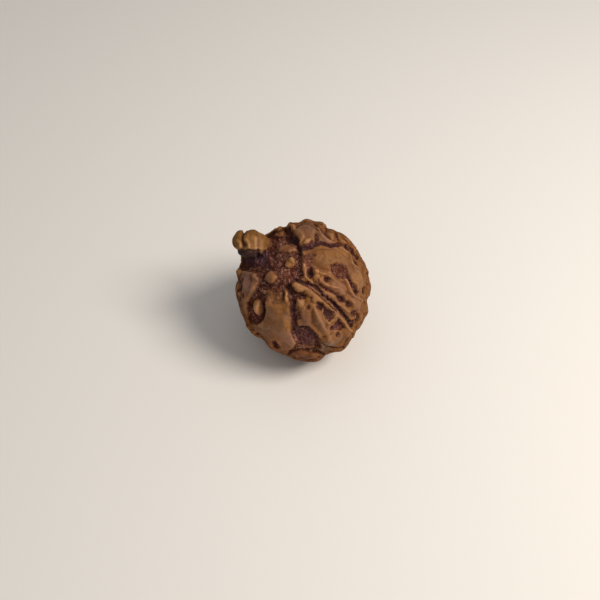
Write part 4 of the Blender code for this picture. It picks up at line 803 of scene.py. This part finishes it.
TONES_AND_PAINTED_LIGHT = {  # where the skin takes another tone, or where light or shade is painted on it: u, v, half length, half width, turn, strength
    # a greyer mauve tone, partly painted cool shade light on the shaded left flank
    "ash_and_cool_shade": [(308, 228, 11, 8, 0, 0.4), (330, 347, 9, 5, -20, 0.3), (241, 289, 5, 12, 0, 0.9), (267, 272, 6, 10, 0, 0.4), (330, 289, 9, 6, 40, 0.4),
            (276, 348, 7, 4, 30, 0.7), (302, 357, 12, 5, 0, 0.4), (336, 288, 13, 9, 45, 0.45), (338, 313, 11, 6, 45, 0.4), (240, 262, 5, 7, 0, 0.6), (306, 322, 6, 9, -10, 0.5),
            (248, 283, 9, 12, 10, 1.0), (291, 338, 8, 6, 35, 0.8), (286, 317, 4, 5, 0, 0.6), (328, 240, 11, 4, 40, 0.8),
            (309, 262, 6, 8, 0, 0.6), (322, 322, 4, 12, -28, 0.5), (355, 296, 5, 6, 0, 0.4), (240, 305, 5, 9, 0, 0.5)],
    "gold": [(286, 326, 5, 10, 0, 0.5), (239, 241, 5, 6, 0, 0.6), (256, 306, 4, 8, 0, 0.7), (279, 302, 7, 8, 0, 0.5), (299, 286.6, 8, 4, 8, 0.6), (318, 273, 5, 3, 30, 0.6),
             (308, 241, 6, 3, 0, 0.8), (302, 303, 5, 4, 0, 0.6), (293, 260, 4, 4, 0, 0.5), (287.5, 297, 3, 6, 0, 0.8),
             (345, 256, 7, 7, 0, 0.4), (360, 279, 7, 9, 0, 0.4), (331, 344, 12, 6, -15, 0.4)],
    "rust": [(276, 290, 9, 4, 0, 0.7), (283, 277, 9, 9, 0, 0.5), (306, 357, 16, 7, 0, 0.9), (341, 271, 9, 8, 0, 0.7), (288, 249, 12, 5, 0, 0.9),
             (286, 247, 13, 6, 0, 0.5), (292, 228, 6, 6, 0, 0.5), (244, 322, 6, 10, -20, 0.4), (255, 277, 5, 8, 10, 0.8),
             (308, 261, 7, 8, 0, 0.6), (356, 246, 8, 4, 55, 0.6), (330, 236, 10, 4, 40, 0.4), (338, 326, 6, 4, 0, 1.0)],
    "healed": [(287, 236.6, 6, 4, 0, 1.0), (277, 297, 12, 9, 0, 1.0), (341, 271, 6, 5, 0, 0.4), (284, 285, 8, 4, 0, 0.4)],
    # painted light: ovals that lighten the skin where more light falls, also in the shadow under the outgrowth
    "painted_light": [(308, 243, 5, 3, 0, 0.7), (338, 326, 6, 4, 0, 0.8), (284, 270, 9, 8, 0, 0.6), (264, 260, 8, 7, 0, 1.2),
             (277, 246, 8, 10, 0, 0.7), (310, 285, 7, 4, 30, 0.8), (306, 334, 9, 6, 20, 0.4), (292, 336, 3, 5, 0, 0.3),
             (256.5, 307, 5, 10, 0, 1.2), (284, 341, 14, 10, 40, 0.9), (298, 347, 8, 8, 0, 0.9), (272, 303, 6, 7, 0, 0.8),
             (297, 276, 9, 5, 0, 1.1), (308, 261, 7, 5, 0, 0.9), (290, 237, 5, 4, 0, 1.6), (299, 243, 4, 4, 0, 0.7),
             (330, 290, 7, 5, 40, 1.1), (242, 290, 5, 13, 0, 0.6), (258, 317, 6, 5, 0, 1.3), (275, 236, 5, 4, 0, 1.3),
             (318, 269, 6, 4, 20, 0.5), (275, 316, 4, 6, 0, 0.5), (351, 290, 5, 9, 0, 0.4), (266, 262, 7, 4, 0, 0.8),
             (252, 259, 9, 4, 0, 1.3), (300, 357, 6, 4, 0, 0.5), (257, 333, 6, 4, 30, 0.9),
             (252, 314, 5, 8, 0, 1.3), (259, 299, 5, 5, 0, 1.4), (257, 320, 6, 5, 0, 1.4), (290, 229, 4, 5, 0, 0.8), (275, 237, 5, 5, 0, 1.5),
             (323, 276, 6, 5, 30, 0.3), (298, 346, 7, 7, 0, 0.9), (275, 348, 6, 4, 30, 0.7), (299, 340, 5, 5, 0, 1.2),
             (266, 284, 5, 4, 0, 0.5), (313, 300, 4, 5, 0, 0.4), (298.4, 314, 4, 7, 0, 0.9), (352, 333, 5, 5, 0, 0.3),
             (288, 236, 6, 4, 0, 0.9), (275, 246, 4, 6, 0, 0.5)],
    # painted shade: ovals that darken the skin where shade falls, as under the outgrowth, at its tip, on the left flank
    # and along the lower edge
    "painted_shade": [(325, 349, 9, 4, -10, 0.6), (302, 357, 14, 6, 0, 0.35), (282, 292, 5, 5, 0, 0.8), (260, 252, 7, 5, 0, 0.5),
             (235, 231, 6, 2.6, 0, 0.9), (249, 231.4, 7, 2.4, 0, 0.8), (258.5, 235.4, 6, 2.4, 32, 0.9), (260, 243.5, 6, 6, 0, 1.0), (231, 231, 5, 5, 30, 0.5), (282, 288, 5, 7, 0, 0.9), (310, 292, 8, 5, 30, 0.9),
             (312, 235, 8, 5, 0, 1.2), (288, 248, 11, 4, 0, 0.4), (325, 347, 10, 6, -10, 1.5), (331, 339, 5, 4, 0, 0.5), (258, 284, 4, 5, 0, 0.6), (290, 325, 4, 5, 0, 0.5),
             (342, 261, 11, 6, 20, 0.8), (254, 277, 7, 6, 0, 0.7),
             (306, 310, 4, 10, 0, 0.6), (274, 259, 5, 4, 0, 0.7), (345, 333, 6, 5, 0, 0.5), (284, 308, 4, 5, 0, 0.6),
             (242, 252, 7, 3, 0, 1.2), (304, 300, 4, 6, 0, 0.5)],
    # darker patches, partly the skin's own darker tone and partly painted shade, as on the far left flank
    "darker_tone_and_shade": [(264, 324, 14, 12, 35, 1.0), (287, 248, 12, 6, 0, 0.9), (276, 309, 11, 10, 0, 0.8), (308, 228, 12, 9, 0, 1.0), (322, 260, 11, 9, 0, 0.8),
              (256, 278, 6, 9, 0, 0.8), (290, 230, 8, 7, 0, 0.6), (331, 232, 9, 6, 30, 0.8), (305, 316, 8, 9, 0, 0.6),
              (350, 268, 5, 7, 0, 0.5), (306, 357, 16, 7, 0, 0.6), (270, 277, 6, 6, 0, 0.5), (335, 344, 16, 7, -15, 0.4), (239, 273, 5, 8, 0, 1.1),
              (238, 292, 5, 20, 0, 1.1)],
}


def tones_and_painted_light(points):
    """Soft ovals of each tone, and of painted light and shade, on the side that faces the drawing."""
    k = VIEW_DIST / (VIEW_DIST - points[:, 2])
    u, v = SHEET[0] + points[:, 0] * k, SHEET[1] - points[:, 1] * k
    ragged = 1 + 0.35 * noise(points / 4.0, 61)
    out = {}
    for name, spots in TONES_AND_PAINTED_LIGHT.items():
        a = np.zeros(len(points))
        for x, y, long_, wide_, turn, share in spots:
            c, s = math.cos(math.radians(turn)), math.sin(math.radians(turn))
            e = ((u - x) * c + (v - y) * s) / long_
            f = ((v - y) * c - (u - x) * s) / wide_
            a = np.maximum(a, share * np.exp(-((e * e + f * f) * ragged) ** 1.5))
        out[name] = a * smooth(points[:, 2], 0, 12)
    return out


def make_seed():
    d, faces = cube_sphere(GRID)
    points, made = build(d)
    points = relax(points, faces, 2, 0.45)
    reach = points @ DOWN
    points = points - DOWN * np.maximum(reach - FLAT_AT, 0)[:, None]
    # height over the skin nearby: crests are painted paler, partly wear and partly painted highlight; hollows darker,
    # painted shade
    out = np.linalg.norm(points, axis=1)
    near = out - blur(out, faces, 14)
    wide = out - blur(out, faces, 120)
    co = to_world(points) * UNIT
    low, high = co.min(axis=0), co.max(axis=0)
    shift = np.array((-(low[0] + high[0]) / 2, -(low[1] + high[1]) / 2, -low[2]))
    co = co + shift
    me = bpy.data.meshes.new("rudraksha_skin")
    me.vertices.add(len(co))
    me.vertices.foreach_set("co", co.astype(np.float32).ravel())
    me.loops.add(faces.size)
    me.loops.foreach_set("vertex_index", faces.astype(np.int32).ravel())
    me.polygons.add(len(faces))
    me.polygons.foreach_set("loop_start", (np.arange(len(faces)) * 4).astype(np.int32))
    me.update(calc_edges=True)
    me.validate()
    me.shade_smooth()
    crest = np.where(made["stub"] > 0, 0, near)
    tilt = np.degrees(np.arctan2(np.hypot(points[:, 0], points[:, 1]), points[:, 2]))
    values = {
        "fibre": np.clip(np.maximum(made["low"], made["rough"]), 0, 1) * (1 - made["stub"]),
        "strand": np.clip(made["mat"], 0, 1) * (1 - made["stub"]),
        "cut": np.clip(made["cut"] / 4.0, 0, 1) * (1 - made["stub"]),
        "pale": np.clip(made["tint"], 0, 1),
        "ruddy": np.clip(-made["tint"], 0, 1),
        "stub": made["stub"],
        "fold": np.clip(made["fold"], 0, 1),
        "under": np.clip(made["under"], 0, 1),
        "crest": np.clip(made["crest"], 0, 1),
        "lee": np.clip(made["lee"], 0, 1) * smooth(points[:, 2], 0, 16),
        "side": smooth(tilt, 44, 74),
        "near": np.clip(0.5 + crest * 0.5, 0, 1),
        "wide": np.clip(0.5 + np.where(made["stub"] > 0, 0, wide) * 0.12, 0, 1),
    }
    values.update(tones_and_painted_light(points))
    healed = values.pop("healed")
    values["fibre"] = np.clip(values["fibre"] - 0.42 * healed, 0, 1)
    values["cut"] *= 1 - 0.6 * healed
    for name, v in values.items():
        me.attributes.new(name, "FLOAT", "POINT").data.foreach_set("value", v.astype(np.float32))
    ob = bpy.data.objects.new("rudraksha_skin", me)
    bpy.context.scene.collection.objects.link(ob)
    return ob, Vector(shift)


class Nodes:
    """Short hand for a material's nodes."""

    def __init__(self, mat):
        self.t = mat.node_tree

    def add(self, kind, **settings):
        n = self.t.nodes.new(kind)
        for k, v in settings.items():
            setattr(n, k, v)
        return n

    def put(self, node, socket, value):
        s = node.inputs[socket]
        if hasattr(value, "is_output") or isinstance(value, bpy.types.NodeSocket):
            self.t.links.new(value, s)
        else:
            s.default_value = value

    def attr(self, name):
        return self.add("ShaderNodeAttribute", attribute_name=name).outputs["Fac"]

    def math(self, op, a, b=None, c=None, clamp=False):
        n = self.add("ShaderNodeMath", operation=op, use_clamp=clamp)
        for i, v in enumerate((a, b, c)):
            if v is not None:
                self.put(n, i, v)
        return n.outputs[0]

    def mix(self, fac, a, b, blend="MIX"):
        n = self.add("ShaderNodeMix", data_type="RGBA", blend_type=blend)
        self.put(n, 0, fac)
        for i, v in ((6, a), (7, b)):
            self.put(n, i, (*v, 1.0) if isinstance(v, tuple) else v)
        return n.outputs[2]

    def noise(self, where, scale, detail=2.0, rough=0.5, distort=0.0):
        n = self.add("ShaderNodeTexNoise")
        self.put(n, "Vector", where)
        self.put(n, "Scale", scale)
        self.put(n, "Detail", detail)
        self.put(n, "Roughness", rough)
        self.put(n, "Distortion", distort)
        return n.outputs["Fac"]

    def ramp(self, fac, lo, hi):
        n = self.add("ShaderNodeMapRange", interpolation_type="SMOOTHSTEP")
        self.put(n, "Value", fac)
        self.put(n, "From Min", lo)
        self.put(n, "From Max", hi)
        return n.outputs["Result"]


def seed_material():
    m = bpy.data.materials.new("seed_skin")
    m.use_nodes = True
    k = Nodes(m)
    p = m.node_tree.nodes["Principled BSDF"]
    where = k.add("ShaderNodeTexCoord").outputs["Object"]
    mm = k.add("ShaderNodeVectorMath", operation="SCALE")
    k.put(mm, 0, where)
    mm.inputs["Scale"].default_value = 1000.0
    mm = mm.outputs[0]

    fibre, strand, cut = k.attr("fibre"), k.attr("strand"), k.attr("cut")
    near, wide = k.attr("near"), k.attr("wide")
    stub, fold, under = k.attr("stub"), k.attr("fold"), k.attr("under")

    # lobes: brown wood, blotched at three sizes
    broad = k.ramp(k.noise(mm, 0.28, 2.0), 0.36, 0.64)
    blotch = k.ramp(k.noise(mm, 0.9, 4.0, 0.6), 0.38, 0.66)
    pinkish = k.ramp(k.noise(mm, 0.42, 3.0, 0.6, 0.4), 0.50, 0.70)
    speck = k.ramp(k.noise(mm, 4.4, 3.0, 0.65), 0.40, 0.70)
    dots = k.ramp(k.noise(mm, 7.0, 1.0, 0.5), 0.62, 0.74)
    skin = k.mix(broad, LOBE_A, LOBE_B)
    skin = k.mix(k.math("MULTIPLY", blotch, 0.45), skin, LOBE_C)
    skin = k.mix(k.math("MULTIPLY", pinkish, 0.55), skin, LOBE_F)
    skin = k.mix(k.math("MULTIPLY", speck, 0.30), skin, LOBE_D)
    skin = k.mix(k.math("MULTIPLY", dots, 0.5), skin, LOBE_E)
    skin = k.mix(k.math("MULTIPLY", k.attr("pale"), 0.8), skin, PALE)
    skin = k.mix(k.math("MULTIPLY", k.attr("ruddy"), 0.85), skin, RUDDY)
    # greyer mauve tone, partly painted cool shade light
    skin = k.mix(k.math("MULTIPLY", k.attr("ash_and_cool_shade"), 0.75), skin, ASH_AND_COOL_SHADE)
    skin = k.mix(k.math("MULTIPLY", k.attr("gold"), 0.7), skin, GOLD)
    skin = k.mix(k.math("MULTIPLY", k.attr("rust"), 0.8), skin, RUDDY)
    # darker patches: partly the skin's own tone, partly painted shade
    skin = k.mix(k.math("MULTIPLY", k.attr("darker_tone_and_shade"), 0.9), skin, DARKER_TONE_AND_SHADE, "MULTIPLY")
    # crests and lobe tops paler, partly wear and partly painted highlight; hollows and lobe edges darker, painted shade
    worn_and_highlight = k.ramp(near, 0.57, 0.92)
    skin = k.mix(k.math("MULTIPLY", worn_and_highlight, 0.6), skin, WORN_AND_HIGHLIGHT)
    hollow_shade = k.ramp(near, 0.49, 0.16)
    skin = k.mix(k.math("MULTIPLY", hollow_shade, 0.75), skin, HOLLOW_SHADE)
    skin = k.mix(k.math("MULTIPLY", k.ramp(wide, 0.50, 0.22), 0.45), skin, HOLLOW_SHADE)
    skin = k.mix(k.math("MULTIPLY", k.ramp(wide, 0.56, 0.80), 0.35), skin, WORN_AND_HIGHLIGHT)

    # pits: clumped dark purple and brown mats under paler fibres
    thread = None
    for i, (turn, stretch) in enumerate((((0.3, 0.9, 0.2), (0.30, 2.0, 2.0)), ((1.2, 0.1, 0.7), (1.9, 0.28, 1.9)), ((0.2, 0.5, 1.9), (2.1, 2.1, 0.3)))):
        mp = k.add("ShaderNodeMapping")
        k.put(mp, "Vector", mm)
        k.put(mp, "Rotation", turn)
        k.put(mp, "Scale", stretch)
        n = k.noise(mp.outputs[0], 1.0, 1.5, 0.5, 0.5)
        line = k.ramp(k.math("ABSOLUTE", k.math("SUBTRACT", n, 0.5)), 0.030, 0.006)
        thread = line if thread is None else k.math("MAXIMUM", thread, line)
    thread = k.math("MULTIPLY", thread, k.ramp(k.noise(mm, 1.3, 2.0, 0.6), 0.40, 0.56))
    clump = k.ramp(k.noise(mm, 2.2, 4.0, 0.66, 1.0), 0.40, 0.66)
    warm = k.ramp(k.noise(mm, 0.6, 2.0, 0.6), 0.40, 0.62)
    pit = k.mix(clump, PIT_A, k.mix(warm, PIT_B, PIT_C))
    pit = k.mix(k.math("MULTIPLY", k.ramp(strand, 0.15, 0.7), 0.75), pit, STRAND)
    pit = k.mix(k.math("MULTIPLY", k.attr("rust"), 0.55), pit, PIT_D)
    pit = k.mix(k.math("MULTIPLY", thread, 0.85), pit, THREAD)
    # their edges are ragged
    ragged = k.math("MULTIPLY_ADD", k.noise(mm, 3.4, 3.0, 0.65), 1.3, -0.65)
    mask = k.math("MAXIMUM", fibre, k.ramp(cut, 0.2, 0.85))
    torn = k.math("ADD", mask, ragged)
    inpit = k.ramp(torn, 0.32, 0.66)
    skin = k.mix(k.math("MULTIPLY", k.ramp(torn, -0.05, 0.40), 0.6), skin, EDGE)
    pit = k.mix(k.math("MULTIPLY", k.ramp(cut, 0.6, 1.0), 0.6), pit, DEEP)
    # painted shadow colour in the crook below the outgrowth
    pit = k.mix(k.math("MULTIPLY", k.attr("lee"), 0.65), pit, PAINTED_STUB_SHADOW)
    skin = k.mix(inpit, skin, pit)

    # the outgrowth: paler, yellow wood
    grain = k.add("ShaderNodeMapping")
    k.put(grain, "Vector", mm)
    k.put(grain, "Rotation", (0.0, 0.0, 0.35))
    k.put(grain, "Scale", (2.4, 0.6, 0.6))
    g = k.ramp(k.noise(grain.outputs[0], 0.8, 3.0, 0.55), 0.34, 0.70)
    wood = k.mix(g, STUB_A, STUB_B)
    wood = k.mix(k.math("MULTIPLY", speck, 0.14), wood, STUB_C)
    wood = k.mix(k.math("MULTIPLY", k.ramp(near, 0.52, 0.9), 0.5), wood, STUB_C)
    # painted highlights on the outgrowth's crests
    wood = k.mix(k.math("MULTIPLY", k.attr("crest"), 0.95), wood, STUB_HIGHLIGHT)
    # painted shade in the outgrowth's crease
    wood = k.mix(k.math("MULTIPLY", fold, 0.95), wood, STUB_CREASE_SHADE)
    # painted shade on the outgrowth's underside
    wood = k.mix(k.math("MULTIPLY", under, 0.92), wood, STUB_UNDERSIDE_SHADE)
    skin = k.mix(k.ramp(k.math("ADD", stub, k.math("MULTIPLY", ragged, 0.5)), 0.25, 0.6), skin, wood)
    # the flanks are darker, painted shade, and duller
    skin = k.mix(k.math("MULTIPLY", k.attr("side"), 0.9), skin, FLANK_SHADE, "MULTIPLY")
    # painted shade: darkens the skin in patches
    skin = k.mix(k.math("MULTIPLY", k.attr("painted_shade"), 0.7), skin, PAINTED_SHADE, "MULTIPLY")
    # painted light: lightens the skin in patches
    skin = k.mix(k.math("MULTIPLY", k.attr("painted_light"), 0.66), skin, PAINTED_LIGHT, "MULTIPLY")
    k.put(p, "Base Color", skin)

    # gloss: oily on the lobes, dull in the pits
    r = k.math("MULTIPLY_ADD", speck, 0.16, 0.26)
    r = k.math("MULTIPLY_ADD", blotch, 0.08, r)
    dull = k.math("MAXIMUM", inpit, k.math("MULTIPLY", stub, 0.1))
    r = k.math("MULTIPLY_ADD", k.attr("side"), 0.2, r)
    r = k.math("MULTIPLY_ADD", dull, 0.35, r, clamp=True)
    k.put(p, "Roughness", r)
    gloss = k.math("MULTIPLY_ADD", k.attr("side"), -0.26, 0.31)
    gloss = k.math("MULTIPLY_ADD", hollow_shade, -0.2, gloss, clamp=True)
    k.put(p, "Specular IOR Level", k.math("MULTIPLY_ADD", inpit, -0.22, gloss, clamp=True))
    p.inputs["Specular Tint"].default_value = (1.0, 0.78, 0.6, 1.0)

    # fine relief
    fine = k.noise(mm, 2.6, 5.0, 0.62)
    grit = k.noise(mm, 8.0, 3.0, 0.6)
    height = k.math("MULTIPLY_ADD", grit, 0.25, fine)
    height = k.math("MULTIPLY_ADD", k.math("MULTIPLY", thread, inpit), 0.9, height)
    height = k.math("MULTIPLY_ADD", k.math("MULTIPLY", k.math("ADD", clump, grit), inpit), 0.7, height)
    b = k.add("ShaderNodeBump")
    k.put(b, "Height", height)
    b.inputs["Strength"].default_value = 0.95
    b.inputs["Distance"].default_value = 0.00014
    k.put(p, "Normal", b.outputs["Normal"])
    return m


LOBE_A = (0.196, 0.071, 0.016)
LOBE_B = (0.262, 0.100, 0.024)
LOBE_C = (0.140, 0.048, 0.012)
LOBE_D = (0.300, 0.125, 0.034)
LOBE_E = (0.085, 0.029, 0.011)
LOBE_F = (0.250, 0.090, 0.037)
PALE = (0.350, 0.160, 0.055)
RUDDY = (0.175, 0.047, 0.015)
ASH_AND_COOL_SHADE = (0.222, 0.104, 0.080)
GOLD = (0.330, 0.150, 0.040)
EDGE = (0.105, 0.034, 0.017)
DARKER_TONE_AND_SHADE = (0.73, 0.74, 0.72)
FLANK_SHADE = (0.78, 0.74, 0.60)
PAINTED_SHADE = (0.70, 0.66, 0.70)
PAINTED_LIGHT = (1.62, 1.56, 1.70)
WORN_AND_HIGHLIGHT = (0.390, 0.173, 0.070)
HOLLOW_SHADE = (0.080, 0.028, 0.016)
PIT_A = (0.037, 0.012, 0.012)
PIT_B = (0.074, 0.017, 0.012)
PIT_C = (0.138, 0.040, 0.017)
PIT_D = (0.175, 0.050, 0.020)
STRAND = (0.122, 0.034, 0.022)
THREAD = (0.420, 0.195, 0.120)
DEEP = (0.060, 0.028, 0.039)
PAINTED_STUB_SHADOW = (0.094, 0.055, 0.098)
STUB_A = (0.282, 0.122, 0.031)
STUB_B = (0.150, 0.058, 0.014)
STUB_C = (0.420, 0.205, 0.080)
STUB_CREASE_SHADE = (0.064, 0.017, 0.011)
STUB_HIGHLIGHT = (0.680, 0.350, 0.160)
STUB_UNDERSIDE_SHADE = (0.031, 0.0155, 0.018)

seed, shift = make_seed()
seed.data.materials.append(seed_material())
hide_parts(NODE)
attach(seed, "root")

# ---- floor ----
me = bpy.data.meshes.new("floor")
me.from_pydata([(-3, -3, 0), (3, -3, 0), (3, 3, 0), (-3, 3, 0)], [], [(0, 1, 2, 3)])
floor = bpy.data.objects.new("floor", me)
bpy.context.scene.collection.objects.link(floor)
fm = bpy.data.materials.new("pale_floor")
fm.use_nodes = True
fb = fm.node_tree.nodes["Principled BSDF"]
fb.inputs["Base Color"].default_value = (0.798, 0.744, 0.680, 1.0)
fb.inputs["Roughness"].default_value = 0.9
fb.inputs["Specular IOR Level"].default_value = 0.1
me.materials.append(fm)

# ---- light: one broad soft light from the right, and a pale room ----
middle = Vector((shift.x, shift.y, shift.z))


def area_light(name, toward, dist, size, watts, color):
    l = bpy.data.lights.new(name, "AREA")
    l.shape = "DISK"
    l.size = size
    l.energy = watts
    l.color = color
    o = bpy.data.objects.new(name, l)
    bpy.context.scene.collection.objects.link(o)
    t = Vector(toward).normalized()
    o.location = middle + t * dist
    o.rotation_mode = "QUATERNION"
    o.rotation_quaternion = t.to_track_quat("Z", "Y")


area_light("window", (0.62, -0.20, 0.76), 0.27, 0.128, 0.665, (1.0, 0.965, 0.915))
world = bpy.data.worlds.new("room")
world.use_nodes = True
wt = world.node_tree
sky = wt.nodes["Background"]
sky.inputs["Strength"].default_value = 0.44
coord = wt.nodes.new("ShaderNodeTexCoord")
split = wt.nodes.new("ShaderNodeSeparateXYZ")
wt.links.new(coord.outputs["Generated"], split.inputs[0])
rise = wt.nodes.new("ShaderNodeMapRange")
rise.interpolation_type = "SMOOTHSTEP"
rise.inputs["From Min"].default_value = -0.05
rise.inputs["From Max"].default_value = 0.75
wt.links.new(split.outputs["Z"], rise.inputs["Value"])
fade = wt.nodes.new("ShaderNodeMix")
fade.data_type = "RGBA"
fade.inputs[6].default_value = (0.42, 0.40, 0.39, 1.0)
fade.inputs[7].default_value = (0.93, 0.96, 1.0, 1.0)
wt.links.new(rise.outputs["Result"], fade.inputs[0])
wt.links.new(fade.outputs[2], sky.inputs["Color"])
bpy.context.scene.world = world
bpy.context.scene.view_settings.view_transform = "Standard"

# ---- camera: the drawing's own line of sight ----
right = Vector((1, 0, 0))
ahead = Vector((0, math.cos(VIEW_UP), -math.sin(VIEW_UP)))
up = right.cross(ahead)
cam = bpy.data.cameras.new("camera")
cam.sensor_width = 36.0
cam.lens = VIEW_DIST * 36.0 / 600.0
cam.clip_start = 0.005
cam_ob = bpy.data.objects.new("camera", cam)
bpy.context.scene.collection.objects.link(cam_ob)
at = middle - ahead * (VIEW_DIST * UNIT)
ahead = (ahead - right * (3 / VIEW_DIST) - up * (9 / VIEW_DIST)).normalized()
right = ahead.cross(up).normalized()
up = right.cross(ahead)
cam_ob.matrix_world = Matrix((
    (right.x, up.x, -ahead.x, at.x),
    (right.y, up.y, -ahead.y, at.y),
    (right.z, up.z, -ahead.z, at.z),
    (0, 0, 0, 1),
))
bpy.context.scene.camera = cam_ob
